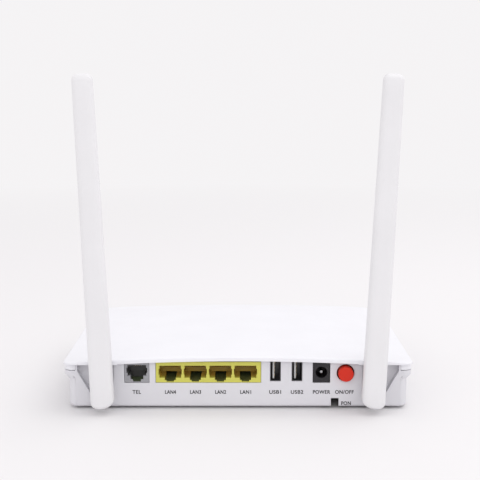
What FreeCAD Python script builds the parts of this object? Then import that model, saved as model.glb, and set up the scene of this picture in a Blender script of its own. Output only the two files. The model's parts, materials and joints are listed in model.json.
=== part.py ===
import FreeCAD, Part
import math
import os

import Sketcher
from FreeCAD import Placement, Rotation, Vector

# Optical network terminal. The port side faces -Y, the indicator side +Y and up is +Z.
# The origin is the middle of the footprint, on the surface that the feet stand on.

doc = FreeCAD.newDocument("optical_network_terminal")
sheet = doc.addObject("Spreadsheet::Sheet", "Sizes")

DIMENSIONS = {
    # housing
    "body_width": 194.0,
    "body_depth": 142.0,
    "lip_overhang": 4.0,
    "wall": 2.0,
    "roof_wall": 1.7,
    "foot_height": 1.3,
    "parting_height": 22.0,
    "parting_gap": 0.3,
    "seam_gap": 0.1,
    "bottom_round": 1.6,
    "flange_height": 2.6,
    "flange_overhang": 2.5,
    "rim_height": 27.4,
    "crown_rear": 30.6,
    "crown_near_rear": 32.2,
    "crown_middle": 33.4,
    "crown_near_front": 32.4,
    "crown_front": 29.6,
    "crown_step": 22.0,
    "rear_corner": 5.0,
    "front_corner": 16.0,
    "top_edge_round": 0.8,
    "port_arch_height": 28.3,
    "port_arch_end": 26.6,
    "port_arch_half": 66.8,
    "seat_top": 26.2,
    "seat_half": 90.5,
    "seat_roof": 0.9,
    "recess_low": 5.4,
    "recess_low_reach": 5.7,
    "recess_side_height": 21.9,
    "recess_side_wall": 1.0,
    "post_offset": 82.0,
    "rear_post": -35.0,
    "front_post": 38.0,
    "post_radius": 3.8,
    "post_gap": 0.6,
    "boss_radius": 3.2,
    "boss_length": 11.8,
    "case_screw_radius": 1.5,
    "case_screw_head_radius": 2.7,
    "board_post_radius": 2.4,
    "board_pilot_radius": 1.25,
    "foot_offset": 80.0,
    "foot_radius": 6.0,
    "keyhole_spacing": 90.0,
    "keyhole_middle": -10.0,
    "keyhole_back": 10.0,
    "keyhole_entry_radius": 4.0,
    "keyhole_slot_radius": 2.1,
    "keyhole_slot_length": 9.0,
    "floor_vent_rear": -32.0,
    "floor_vent_length": 18.0,
    "floor_vent_width": 1.8,
    "floor_vent_run": 32.0,
    "side_vent_rear": -26.0,
    "side_vent_low": 7.0,
    "side_vent_high": 14.6,
    "side_vent_run": 70.0,
    "latch_inset": 3.2,
    "latch_half": 0.45,
    "latch_low": 16.2,
    "latch_high": 18.0,
    "latch_depth": 0.5,
    "rib_gap": 0.2,
    "rib_width": 1.2,
    "rib_height": 1.1,
    "rib_start": 14.0,
    # electronics
    "board_top": 15.2,
    "board_thickness": 1.6,
    "board_half": 64.0,
    "board_side_extra": 6.0,
    "board_gap": 0.6,
    "board_tab_reach": 4.0,
    # sockets, by the middle of each
    "tel_across": -56.3,
    "tel_width": 13.7,
    "tel_height": 11.3,
    "lan_across": -16.5,
    "lan_width": 58.5,
    "lan_height": 11.7,
    "lan_pitch": 13.97,
    "lan_depth": 18.0,
    "usb_one_across": 20.8,
    "usb_two_across": 32.8,
    "usb_width": 5.7,
    "usb_height": 13.1,
    "usb_wall": 0.35,
    "usb_depth": 14.0,
    "usb_lift": 0.9,
    "socket_gap": 0.15,
    "socket_setback": 0.3,
    "power_across": 46.4,
    "power_width": 9.5,
    "power_height": 11.3,
    "power_bore_radius": 3.2,
    "power_axis_height": 21.0,
    "fibre_across": 54.0,
    "fibre_notch_width": 4.4,
    "fibre_notch_top": 6.2,
    "bay_width": 14.0,
    "bay_length": 92.0,
    "bay_wall": 1.5,
    # controls
    "button_across": 59.8,
    "button_axis_height": 20.7,
    "button_radius": 4.25,
    "button_hole_radius": 4.95,
    "button_proud": 3.4,
    "key_rear": 8.0,
    "key_spacing": 16.0,
    "key_width": 8.0,
    "key_tall": 4.0,
    "key_height": 14.6,
    "key_gap": 0.3,
    "reset_hole_radius": 1.0,
    # indicators
    "lamp_count": 10.0,
    "lamp_pitch": 8.0,
    "lamp_width": 4.0,
    "lamp_tall": 1.6,
    "lamp_height": 25.4,
    # antennas
    "pivot_across": 74.5,
    "pivot_height": 13.6,
    "splay": 2.4,
    "antenna_above": 171.4,
    "antenna_below": 9.8,
    "antenna_width": 13.2,
    "antenna_tip_width": 12.0,
    "antenna_thickness": 9.2,
    "antenna_tip_thickness": 7.8,
    "tip_round": 3.2,
    "tip_corner": 3.3,
    "foot_sag": 2.25,
    "foot_rise_outer": 1.6,
    "foot_rise_inner": 3.0,
    "antenna_gap": 0.6,
    "antenna_wall": 1.3,
    "hub_radius": 5.0,
    "hub_gap": 0.35,
    "stem_radius": 2.6,
    "running_gap": 0.08,
    "seat_depth": 4.0,
}


class Size:
    """A length that knows its number and the sheet formula that it comes from."""

    def __init__(self, number, formula):
        self.number = number
        self.formula = formula

    def joined(self, other, sign, number):
        return Size(number, f"({self.formula} {sign} {formula_of(other)})")

    def __add__(self, other):
        return self.joined(other, "+", self.number + number_of(other))

    def __sub__(self, other):
        return self.joined(other, "-", self.number - number_of(other))

    def __mul__(self, other):
        return self.joined(other, "*", self.number * number_of(other))

    def __truediv__(self, other):
        return self.joined(other, "/", self.number / number_of(other))

    def __neg__(self):
        return Size(-self.number, f"(0 - {self.formula})")


def number_of(size):
    return size.number if isinstance(size, Size) else float(size)


def formula_of(size):
    return size.formula if isinstance(size, Size) else f"({float(size):.6g})"


class Sheet:
    """The driving dimensions, each read as an attribute."""

    def __init__(self, table):
        for row, (alias, value) in enumerate(table.items(), start=1):
            sheet.set(f"A{row}", alias)
            sheet.set(f"B{row}", str(value))
            sheet.setAlias(f"B{row}", alias)
            setattr(self, alias, Size(value, f"Sizes.{alias}"))


S = Sheet(DIMENSIONS)
doc.recompute()

# Places worked out from the driving dimensions.
HALF_WIDTH = S.body_width / 2
FRONT = (S.body_depth + S.antenna_gap + S.antenna_thickness) / 2
LIP = FRONT - S.body_depth
PORTS = LIP + S.lip_overhang
ANTENNA_MIDDLE = LIP - S.antenna_gap - S.antenna_thickness / 2
BASE = S.foot_height
FLOOR_TOP = BASE + S.wall
TUB_HALF = HALF_WIDTH - S.flange_overhang
TUB_FRONT = FRONT - S.flange_overhang
FLANGE_BOTTOM = S.parting_height - S.flange_height
BOARD_BOTTOM = S.board_top - S.board_thickness

RECESS_INNER = S.pivot_across - S.hub_radius - S.hub_gap
SEAT_FLOOR = PORTS + S.seat_depth
USB_LOW = S.board_top + S.usb_lift
FIRST_LAMP = -S.lamp_pitch * ((S.lamp_count - 1) / 2)

PAST = 1.0  # how far a cut starts before its face, or runs on past it
SINK = 0.2  # how deep a joined piece stands in the wall that carries it

nodes = []


# Helpers

def bind(item, name, size):
    item.setExpression(name, formula_of(size))


def place(item, x, y, z):
    for axis, size in (("x", x), ("y", y), ("z", z)):
        bind(item, f"Placement.Base.{axis}", size)
    return item


def keep(item, label):
    """Name a finished sub-part, which becomes one file."""
    item.Label = label
    nodes.append(item)
    return item


def block(name, lengths, corner):
    item = doc.addObject("Part::Box", name)
    for prop, size in zip(("Length", "Width", "Height"), lengths):
        bind(item, prop, size)
    return place(item, *corner)


def centred_block(name, lengths, middle_x, middle_y, bottom):
    half_x = Size(number_of(lengths[0]) / 2, f"{formula_of(lengths[0])} / 2")
    half_y = Size(number_of(lengths[1]) / 2, f"{formula_of(lengths[1])} / 2")
    return block(name, lengths, (-half_x + middle_x, -half_y + middle_y, bottom))


AXIS_TURNS = {
    "z": Rotation(),
    "y": Rotation(Vector(1, 0, 0), -90),
    "x": Rotation(Vector(0, 1, 0), 90),
}


def rod(name, radius, length, start, axis="z"):
    item = doc.addObject("Part::Cylinder", name)
    bind(item, "Radius", radius)
    bind(item, "Height", length)
    item.Placement = Placement(Vector(), AXIS_TURNS[axis])
    return place(item, *start)


def fuse(name, items):
    item = doc.addObject("Part::MultiFuse", name)
    item.Shapes = items
    return item


def cut(name, base, tool):
    item = doc.addObject("Part::Cut", name)
    item.Base = base
    item.Tool = tool
    return item


def group(name, items):
    item = doc.addObject("Part::Compound", name)
    item.Links = items
    return item


def new_body(name):
    return doc.addObject("PartDesign::Body", name)


def origin_plane(body, role):
    return next(feature for feature in body.Origin.OriginFeatures if feature.Role == role)


def new_sketch(body, name, plane, offset=0.0):
    """A sketch on one of the body's origin planes, moved along the plane's normal."""
    sketch = body.newObject("Sketcher::SketchObject", name)
    sketch.AttachmentSupport = [(origin_plane(body, plane), "")]
    sketch.MapMode = "FlatFace"
    bind(sketch, "AttachmentOffset.Base.z", offset)
    return sketch


def arc_between(start, end, radius, turn):
    """The short arc from start to end; turn is 1 when it runs anticlockwise, else -1."""
    chord = end - start
    normal = Vector(-chord.y, chord.x, 0).normalize()
    reach = math.sqrt(max(0.0, radius ** 2 - (chord.Length / 2) ** 2))
    centre = start + chord * 0.5 + normal * (turn * reach)
    first, last = (start, end) if turn > 0 else (end, start)
    angles = [math.atan2(end_point.y - centre.y, end_point.x - centre.x) for end_point in (first, last)]
    return Part.ArcOfCircle(Part.Circle(centre, Vector(0, 0, 1), radius), angles[0], angles[1])


def outline(sketch, points):
    """A closed loop. A point is (x, y), or (x, y, radius, turn) when an arc leaves it."""
    corners = [Vector(number_of(point[0]), number_of(point[1]), 0) for point in points]
    count = len(points)
    first = sketch.GeometryCount
    ends = []
    for index, point in enumerate(points):
        start, end = corners[index], corners[(index + 1) % count]
        if len(point) == 2:
            sketch.addGeometry(Part.LineSegment(start, end), False)
            ends.append((1, 2))
        else:
            sketch.addGeometry(arc_between(start, end, number_of(point[2]), point[3]), False)
            ends.append((1, 2) if point[3] > 0 else (2, 1))
    for index, point in enumerate(points):
        following = (index + 1) % count
        here = first + index
        sketch.addConstraint(Sketcher.Constraint(
            "Coincident", here, ends[index][1], first + following, ends[following][0]))
        for kind, size in (("DistanceX", point[0]), ("DistanceY", point[1])):
            rule = Sketcher.Constraint(kind, -1, 1, here, ends[index][0], number_of(size))
            bind(sketch, f"Constraints[{sketch.addConstraint(rule)}]", size)
        if len(point) > 2:
            rule = Sketcher.Constraint("Radius", here, number_of(point[2]))
            bind(sketch, f"Constraints[{sketch.addConstraint(rule)}]", point[2])


def rectangle(sketch, left, right, low, high):
    outline(sketch, [(left, low), (right, low), (right, high), (left, high)])


def rounded_rectangle(sketch, half, low, high, low_radius, high_radius):
    """A rectangle about the Y axis with one radius at its low corners and one at its high ones."""
    outline(sketch, [
        (-half + low_radius, low),
        (half - low_radius, low, low_radius, 1),
        (half, low + low_radius),
        (half, high - high_radius, high_radius, 1),
        (half - high_radius, high),
        (-half + high_radius, high, high_radius, 1),
        (-half, high - high_radius),
        (-half, low + low_radius, low_radius, 1),
    ])


def circle(sketch, x, y, radius):
    index = sketch.addGeometry(
        Part.Circle(Vector(number_of(x), number_of(y), 0), Vector(0, 0, 1), number_of(radius)), False)
    for kind, size in (("DistanceX", x), ("DistanceY", y)):
        rule = Sketcher.Constraint(kind, -1, 1, index, 3, number_of(size))
        bind(sketch, f"Constraints[{sketch.addConstraint(rule)}]", size)
    rule = Sketcher.Constraint("Radius", index, number_of(radius))
    bind(sketch, f"Constraints[{sketch.addConstraint(rule)}]", radius)


def pad(body, name, sketch, length, backwards=False):
    feature = body.newObject("PartDesign::Pad", name)
    feature.Profile = sketch
    bind(feature, "Length", length)
    feature.Reversed = backwards
    return feature


def pocket(body, name, sketch, depth, backwards=False):
    """Cut against the sketch's normal, or along it when backwards. The volume has to drop."""
    doc.recompute()
    before = body.Shape.Volume
    feature = body.newObject("PartDesign::Pocket", name)
    feature.Profile = sketch
    bind(feature, "Length", depth)
    feature.Reversed = backwards
    doc.recompute()
    if body.Shape.Volume >= before:
        raise RuntimeError(f"{name} cuts nothing")
    return feature


def pattern(body, name, feature, sketch, axis, length, count):
    repeat = body.newObject("PartDesign::LinearPattern", name)
    repeat.Originals = [feature]
    repeat.Direction = (sketch, [axis])
    bind(repeat, "Length", length)
    repeat.Occurrences = count
    body.Tip = repeat
    return repeat


def round_edges(body, name, radius, chosen):
    """Fillet the edges of the body's present shape for which chosen(edge) is true."""
    doc.recompute()
    base = body.Tip
    names = [f"Edge{index}" for index, edge in enumerate(base.Shape.Edges, start=1) if chosen(edge)]
    feature = body.newObject("PartDesign::Fillet", name)
    feature.Base = (base, names)
    bind(feature, "Radius", radius)
    doc.recompute()
    return feature


# Housing

def arch_radius(half, rise):
    return (half * half + rise * rise) / (rise * 2)


def cover_section(body, name, y, half, low, crown, thinner):
    """An upright slice of the cover: straight sides under a flat arch."""
    shoulder = S.rim_height - thinner
    sketch = new_sketch(body, name, "XZ_Plane", -y)
    outline(sketch, [
        (-half, low),
        (half, low),
        (half, shoulder, arch_radius(half, crown - thinner - shoulder), 1),
        (-half, shoulder),
    ])
    return sketch


def cover_loft(body, name, kind, first_y, last_y, half, low, thinner):
    stations = [
        (first_y, S.crown_rear),
        (LIP + S.crown_step, S.crown_near_rear),
        (LIP + S.body_depth / 2, S.crown_middle),
        (FRONT - S.crown_step, S.crown_near_front),
        (last_y, S.crown_front),
    ]
    slices = [
        cover_section(body, f"{name}_slice_{index}", y, half, low, crown, thinner)
        for index, (y, crown) in enumerate(stations)
    ]
    loft = body.newObject(f"PartDesign::{kind}", name)
    loft.Profile = slices[0]
    loft.Sections = slices[1:]
    return loft


def port_arch(top_of_arch, end_of_arch, seat_height, half_seat, low):
    """The outline under the rim: an arch over the sockets and a step over each hinge seat."""
    arch = arch_radius(S.port_arch_half, top_of_arch - end_of_arch)
    return [
        (-half_seat, low),
        (half_seat, low),
        (half_seat, seat_height),
        (S.port_arch_half, seat_height),
        (S.port_arch_half, end_of_arch, arch, 1),
        (-S.port_arch_half, end_of_arch),
        (-S.port_arch_half, seat_height),
        (-half_seat, seat_height),
    ]


def trim_to_outline(body, name, half, low, high, low_radius, high_radius):
    """Cut away whatever of the body lies outside an upright rounded-rectangle wall."""
    margin = 10
    frame = new_sketch(body, f"{name}_outline", "XY_Plane", 0.0)
    rectangle(frame, -half - margin, half + margin, low - margin, high + margin)
    rounded_rectangle(frame, half, low, high, low_radius, high_radius)
    pocket(body, name, frame, S.crown_middle + margin, backwards=True)


def post_places():
    """The four case posts, each met by a boss under the cover."""
    return [(x, y) for x in (-S.post_offset, S.post_offset) for y in (S.rear_post, S.front_post)]


def make_cover_core():
    """The room under the cover's roof, which is cut out of the cover."""
    core = new_body("cover_core")
    cover_loft(core, "core_loft", "AdditiveLoft", PORTS, FRONT, HALF_WIDTH,
               S.parting_height - PAST, S.roof_wall)
    trim_to_outline(core, "core_trim", HALF_WIDTH - S.wall, PORTS + S.wall, FRONT - S.wall,
                    S.rear_corner - S.wall, S.front_corner - S.wall)
    return core


def shape_cover(body):
    """The arched lid with rounded top edges, hollowed from below."""
    low = S.parting_height + S.parting_gap
    cover_loft(body, "crown", "AdditiveLoft", LIP - PAST, FRONT + PAST, HALF_WIDTH + PAST, low, 0.0)
    trim_to_outline(body, "cover_trim", HALF_WIDTH, LIP, FRONT, S.rear_corner, S.front_corner)
    high_faces = [face for face in body.Tip.Shape.Faces if face.CenterOfMass.z > S.crown_rear.number]
    roof = max(high_faces, key=lambda face: face.Area)
    rim = [edge.hashCode() for edge in roof.OuterWire.Edges]
    round_edges(body, "top_edges", S.top_edge_round, lambda edge: edge.hashCode() in rim)
    room = body.newObject("PartDesign::Boolean", "room")
    room.Type = "Cut"
    room.setObjects([make_cover_core()])


def clear_port_wall(body):
    """Cut the cover back to its lip over the port wall, and lift it off the serial bus sockets."""
    gap = S.seam_gap
    port_cut = new_sketch(body, "port_cut_outline", "XZ_Plane", -PORTS - S.wall)
    outline(port_cut, port_arch(S.port_arch_height + gap, S.port_arch_end + gap, S.seat_top + gap,
                                S.seat_half + gap, S.parting_height - PAST))
    pocket(body, "port_cut", port_cut, S.wall + S.lip_overhang + PAST, backwards=True)

    under_lip = new_sketch(body, "under_lip_outline", "XY_Plane", S.seat_top + gap)
    outline(under_lip, [
        (-HALF_WIDTH - PAST, LIP - PAST),
        (HALF_WIDTH + PAST, LIP - PAST),
        (HALF_WIDTH + PAST, PORTS + S.rear_corner),
        (HALF_WIDTH, PORTS + S.rear_corner, S.rear_corner, -1),
        (HALF_WIDTH - S.rear_corner, PORTS),
        (-HALF_WIDTH + S.rear_corner, PORTS, S.rear_corner, -1),
        (-HALF_WIDTH, PORTS + S.rear_corner),
        (-HALF_WIDTH - PAST, PORTS + S.rear_corner),
    ])
    pocket(body, "under_lip", under_lip, S.seat_top - S.parting_height + PAST)

    relief_side, relief_depth = 0.4, 3.0
    relief = new_sketch(body, "usb_relief_outline", "XY_Plane", USB_LOW + S.usb_height + gap)
    rectangle(relief, S.usb_one_across - S.usb_width / 2 - relief_side,
              S.usb_two_across + S.usb_width / 2 + relief_side,
              PORTS + gap, PORTS + S.socket_setback + S.usb_depth + PAST)
    pocket(body, "usb_relief", relief, relief_depth)


def make_top_cover():
    body = new_body("top_cover")
    shape_cover(body)
    clear_port_wall(body)

    pilot_end = 1.3
    bosses = new_sketch(body, "boss_outline", "XY_Plane", S.board_top + S.post_gap)
    pilots = new_sketch(body, "pilot_outline", "XY_Plane", S.board_top)
    for x, y in post_places():
        circle(bosses, x, y, S.boss_radius)
        circle(pilots, x, y, S.case_screw_radius)
    pad(body, "bosses", bosses, S.boss_length)
    pocket(body, "pilots", pilots, S.boss_length - pilot_end, backwards=True)

    window = new_sketch(body, "window_outline", "XZ_Plane", -FRONT - PAST)
    rectangle(window, FIRST_LAMP - S.lamp_width / 2, FIRST_LAMP + S.lamp_width / 2,
              S.lamp_height - S.lamp_tall / 2, S.lamp_height + S.lamp_tall / 2)
    opening = pocket(body, "window", window, S.wall + PAST * 3, backwards=True)
    pattern(body, "windows", opening, window, "H_Axis",
            S.lamp_pitch * (S.lamp_count - 1), int(S.lamp_count.number))
    keep(body, "top_cover")


def shape_shell(body):
    """The open tub, with the flange that carries the cover and the wall round the sockets."""
    front_radius = S.front_corner - S.flange_overhang
    tub = new_sketch(body, "tub_outline", "XY_Plane", BASE)
    rounded_rectangle(tub, TUB_HALF, PORTS, TUB_FRONT, S.rear_corner, front_radius)
    pad(body, "tub", tub, S.parting_height - BASE)
    doc.recompute()
    near = 0.01
    round_edges(body, "bottom_edge", S.bottom_round, lambda edge: (
        abs(edge.BoundBox.ZMax - BASE.number) < near and edge.BoundBox.YMax > PORTS.number + near))

    slope_low = new_sketch(body, "slope_low_outline", "XY_Plane", FLANGE_BOTTOM - S.flange_overhang)
    rounded_rectangle(slope_low, TUB_HALF, PORTS, TUB_FRONT, S.rear_corner, front_radius)
    slope_high = new_sketch(body, "slope_high_outline", "XY_Plane", FLANGE_BOTTOM)
    rounded_rectangle(slope_high, HALF_WIDTH, PORTS, FRONT, S.rear_corner, S.front_corner)
    slope = body.newObject("PartDesign::AdditiveLoft", "slope")
    slope.Profile = slope_low
    slope.Sections = [slope_high]
    slope.Ruled = True
    flange = new_sketch(body, "flange_outline", "XY_Plane", FLANGE_BOTTOM)
    rounded_rectangle(flange, HALF_WIDTH, PORTS, FRONT, S.rear_corner, S.front_corner)
    pad(body, "flange", flange, S.flange_height)

    cavity = new_sketch(body, "cavity_outline", "XY_Plane", S.parting_height)
    rounded_rectangle(cavity, TUB_HALF - S.wall, PORTS + S.wall, TUB_FRONT - S.wall,
                      S.rear_corner - S.wall, front_radius - S.wall)
    pocket(body, "cavity", cavity, S.parting_height - FLOOR_TOP)

    port_wall = new_sketch(body, "port_wall_outline", "XZ_Plane", -PORTS)
    outline(port_wall, port_arch(
        S.port_arch_height, S.port_arch_end, S.seat_top, S.seat_half, S.parting_height - PAST))
    pad(body, "port_wall", port_wall, S.wall, backwards=True)


def add_hinge_seats(body):
    """A block behind each antenna, with the recess that its lower end swings in."""
    seats = new_sketch(body, "seat_outline", "XY_Plane", FLOOR_TOP - SINK)
    for side in (-1, 1):
        edges = sorted(((RECESS_INNER - S.wall) * side, S.seat_half * side), key=number_of)
        rectangle(seats, edges[0], edges[1], PORTS, SEAT_FLOOR + S.wall)
    pad(body, "seats", seats, S.seat_top - FLOOR_TOP + SINK)

    recess_outer = S.seat_half - S.recess_side_wall
    recess_top = S.seat_top - S.seat_roof
    recesses = new_sketch(body, "recess_outline", "XZ_Plane", -PORTS)
    for side in (-1, 1):
        corners = [
            (RECESS_INNER * side, S.recess_low),
            ((S.pivot_across + S.recess_low_reach) * side, S.recess_low),
            (recess_outer * side, S.recess_side_height),
            (recess_outer * side, recess_top),
            (RECESS_INNER * side, recess_top),
        ]
        outline(recesses, corners if side > 0 else corners[::-1])
    pocket(body, "recesses", recesses, S.seat_depth)

    stem_holes = new_sketch(body, "stem_hole_outline", "XZ_Plane", -PORTS)
    for side in (-1, 1):
        circle(stem_holes, S.pivot_across * side, S.pivot_height, S.stem_radius + S.running_gap)
    pocket(body, "stem_holes", stem_holes, S.seat_depth + S.wall + PAST)


def cut_socket_openings(body):
    sockets = new_sketch(body, "socket_outline", "XZ_Plane", -PORTS + PAST)
    for across, width, low in (
        (S.tel_across, S.tel_width, S.board_top),
        (S.lan_across, S.lan_width, S.board_top),
        (S.usb_one_across, S.usb_width, USB_LOW),
        (S.usb_two_across, S.usb_width, USB_LOW),
        (S.power_across, S.power_width, S.board_top),
    ):
        rectangle(sockets, across - width / 2 - S.socket_gap, across + width / 2 + S.socket_gap,
                  low - S.socket_gap, S.port_arch_height + PAST)
    circle(sockets, S.button_across, S.button_axis_height, S.button_hole_radius)
    pocket(body, "socket_openings", sockets, S.wall + PAST)


def add_fibre_bay(body):
    """The walled bay, open below, that takes the fibre from the notch to the receptacle."""
    rear = PORTS + S.wall
    half = S.bay_width / 2
    bay_wall = new_sketch(body, "bay_wall_outline", "XY_Plane", FLOOR_TOP - S.bay_wall)
    rectangle(bay_wall, S.fibre_across - half - S.bay_wall, S.fibre_across + half + S.bay_wall,
              rear - SINK, rear + S.bay_length + S.bay_wall)
    pad(body, "bay_wall", bay_wall, BOARD_BOTTOM - S.parting_gap - FLOOR_TOP + S.bay_wall)
    bay = new_sketch(body, "bay_outline", "XY_Plane", BASE - PAST)
    rectangle(bay, S.fibre_across - half, S.fibre_across + half, rear, rear + S.bay_length)
    pocket(body, "bay", bay, BOARD_BOTTOM, backwards=True)
    notch = new_sketch(body, "notch_outline", "XZ_Plane", -PORTS + PAST)
    rectangle(notch, S.fibre_across - S.fibre_notch_width / 2, S.fibre_across + S.fibre_notch_width / 2,
              0.0, S.fibre_notch_top)
    pocket(body, "notch", notch, S.wall + PAST * 2)


def add_posts(body):
    """Posts under the cover's bosses and under the board, with the holes for their screws."""
    posts = new_sketch(body, "post_outline", "XY_Plane", FLOOR_TOP - SINK)
    for x, y in post_places():
        circle(posts, x, y, S.post_radius)
    pad(body, "posts", posts, S.board_top - FLOOR_TOP + S.post_gap)
    board_posts = new_sketch(body, "board_post_outline", "XY_Plane", FLOOR_TOP - SINK)
    board_pilots = new_sketch(body, "board_pilot_outline", "XY_Plane", BOARD_BOTTOM + PAST)
    for x, y in board_screw_places():
        circle(board_posts, x, y, S.board_post_radius)
        circle(board_pilots, x, y, S.board_pilot_radius)
    pad(body, "board_posts", board_posts, BOARD_BOTTOM - FLOOR_TOP + SINK)
    board_pilot_depth = 7.0
    pocket(body, "board_pilots", board_pilots, board_pilot_depth + PAST)

    head_clearance, shank_clearance = 0.25, 0.2
    head_wells = new_sketch(body, "head_well_outline", "XY_Plane", BASE - PAST)
    shank_holes = new_sketch(body, "shank_hole_outline", "XY_Plane", BASE - PAST)
    for x, y in post_places():
        circle(head_wells, x, y, S.case_screw_head_radius + head_clearance)
        circle(shank_holes, x, y, S.case_screw_radius + shank_clearance)
    pocket(body, "head_wells", head_wells, CASE_SCREW_HEAD_LIFT + CASE_SCREW_HEAD_HEIGHT + PAST + 0.1,
           backwards=True)
    pocket(body, "shank_holes", shank_holes, S.board_top + PAST * 3, backwards=True)


def cut_keyholes(body):
    """Two wall-hanging keyholes: a round entry with a narrower slot towards the front."""
    entries = new_sketch(body, "keyhole_entry_outline", "XY_Plane", BASE - PAST)
    slots = new_sketch(body, "keyhole_slot_outline", "XY_Plane", BASE - PAST)
    slot_ends = new_sketch(body, "keyhole_end_outline", "XY_Plane", BASE - PAST)
    slot_end = S.keyhole_back + S.keyhole_slot_length
    for side in (-1, 1):
        x = S.keyhole_middle + S.keyhole_spacing / 2 * side
        circle(entries, x, S.keyhole_back, S.keyhole_entry_radius)
        rectangle(slots, x - S.keyhole_slot_radius, x + S.keyhole_slot_radius, S.keyhole_back, slot_end)
        circle(slot_ends, x, slot_end, S.keyhole_slot_radius)
    for name, sketch in (("entries", entries), ("slots", slots), ("ends", slot_ends)):
        pocket(body, f"keyhole_{name}", sketch, S.wall + PAST * 2, backwards=True)


def cut_vents(body):
    """Nine rows of three slots through the floor, and a row of upright slots in the left side."""
    floor_vent = new_sketch(body, "floor_vent_outline", "XY_Plane", BASE - PAST)
    floor_rows, floor_starts = 9, (-42.0, -20.0, 2.0)
    for start in floor_starts:
        rectangle(floor_vent, start, S.floor_vent_length + start,
                  S.floor_vent_rear, S.floor_vent_rear + S.floor_vent_width)
    vent = pocket(body, "floor_vent", floor_vent, S.wall + PAST * 2, backwards=True)
    pattern(body, "floor_vents", vent, floor_vent, "V_Axis", S.floor_vent_run, floor_rows)

    side_slots = 15
    side_vent = new_sketch(body, "side_vent_outline", "YZ_Plane", -HALF_WIDTH)
    rectangle(side_vent, S.side_vent_rear, S.side_vent_rear + S.floor_vent_width,
              S.side_vent_low, S.side_vent_high)
    slot = pocket(body, "side_vent", side_vent, S.flange_overhang + S.wall + PAST, backwards=True)
    pattern(body, "side_vents", slot, side_vent, "H_Axis", S.side_vent_run, side_slots)


def cut_side_openings(body):
    """Openings for the side keys and the reset pin, and the shallow latch marks in the ears."""
    keys = new_sketch(body, "key_outline", "YZ_Plane", HALF_WIDTH)
    for step in (0, 1):
        y = S.key_rear + S.key_spacing * step
        rectangle(keys, y - S.key_width / 2 - S.key_gap, y + S.key_width / 2 + S.key_gap,
                  S.key_height - S.key_tall / 2 - S.key_gap, S.key_height + S.key_tall / 2 + S.key_gap)
    circle(keys, S.key_rear - S.key_spacing, S.key_height, S.reset_hole_radius)
    pocket(body, "key_openings", keys, S.flange_overhang + S.wall + PAST)

    latch = new_sketch(body, "latch_outline", "XZ_Plane", -PORTS + PAST)
    for side in (-1, 1):
        x = (TUB_HALF - S.latch_inset) * side
        rectangle(latch, x - S.latch_half, x + S.latch_half, S.latch_low, S.latch_high)
    pocket(body, "latch_slots", latch, S.latch_depth + PAST)


def add_locating_rib(body):
    """The low rib round the rim that the cover sits over."""
    rib = new_sketch(body, "rib_outline", "XY_Plane", S.parting_height - SINK)
    outer, outer_y = HALF_WIDTH - S.wall - S.rib_gap, FRONT - S.wall - S.rib_gap
    inner, inner_y = outer - S.rib_width, outer_y - S.rib_width
    turn = S.front_corner - S.wall - S.rib_gap
    inner_turn = turn - S.rib_width
    start_y = PORTS + S.rib_start
    outline(rib, [
        (outer, start_y),
        (outer, outer_y - turn, turn, 1),
        (outer - turn, outer_y),
        (-outer + turn, outer_y, turn, 1),
        (-outer, outer_y - turn),
        (-outer, start_y),
        (-inner, start_y),
        (-inner, inner_y - inner_turn, inner_turn, -1),
        (-inner + inner_turn, inner_y),
        (inner - inner_turn, inner_y, inner_turn, -1),
        (inner, inner_y - inner_turn),
        (inner, start_y),
    ])
    pad(body, "rib", rib, S.rib_height + SINK)


def make_bottom_shell():
    body = new_body("bottom_shell")
    shape_shell(body)
    add_hinge_seats(body)
    cut_socket_openings(body)
    add_fibre_bay(body)
    add_posts(body)
    cut_keyholes(body)
    cut_vents(body)
    cut_side_openings(body)
    add_locating_rib(body)
    keep(body, "bottom_shell")


def make_rubber_feet():
    feet = []
    rear_inset, front_inset = 16.0, 18.0
    for x in (-S.foot_offset, S.foot_offset):
        for y in (PORTS + rear_inset, TUB_FRONT - front_inset):
            foot = rod(f"foot_{len(feet)}", S.foot_radius, S.foot_height, (x, y, 0.0))
            feet.append(foot)
    keep(group("feet", feet), "rubber_feet")


# Lengths along the case screws: the head's height over the base, the head and the shank.
CASE_SCREW_HEAD_LIFT = 3.4
CASE_SCREW_HEAD_HEIGHT = 2.0
CASE_SCREW_SHANK_LENGTH = 17.0


def screw(name, x, y, head_bottom, shank_length, shank_radius, head_radius, head_height, point_up):
    """A pan-head screw, with its shank going up or down from the head."""
    drive_radius, drive_depth = head_radius * 0.42, head_height * 0.5
    head = rod(f"{name}_head", head_radius, head_height, (x, y, head_bottom))
    start = head_bottom + head_height - SINK if point_up else head_bottom - shank_length + SINK
    shank = rod(f"{name}_shank", shank_radius, shank_length, (x, y, start))
    drive_start = head_bottom if point_up else head_bottom + drive_depth
    drive = rod(f"{name}_drive", drive_radius, drive_depth, (x, y, drive_start))
    return cut(name, fuse(f"{name}_blank", [head, shank]), drive)


def make_case_screws():
    thread_gap = 0.02
    screws = []
    for x, y in post_places():
        screws.append(screw(f"case_screw_{len(screws)}", x, y, BASE + CASE_SCREW_HEAD_LIFT,
                            CASE_SCREW_SHANK_LENGTH, S.case_screw_radius - thread_gap,
                            S.case_screw_head_radius, CASE_SCREW_HEAD_HEIGHT, True))
    keep(group("screws", screws), "case_screws")


def make_rating_label():
    """A blank label on the underside."""
    length, width, thickness = 40.0, 26.0, 0.12
    left, rear = -62.0, 24.0
    keep(block("label", (length, width, thickness), (left, rear, BASE - thickness)), "rating_label")


# Electronics

LAN_PORTS = 4


def board_screw_places():
    return [(x, y) for x in (-58.0, 66.5) for y in (PORTS + 36, 40.0)]


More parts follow.
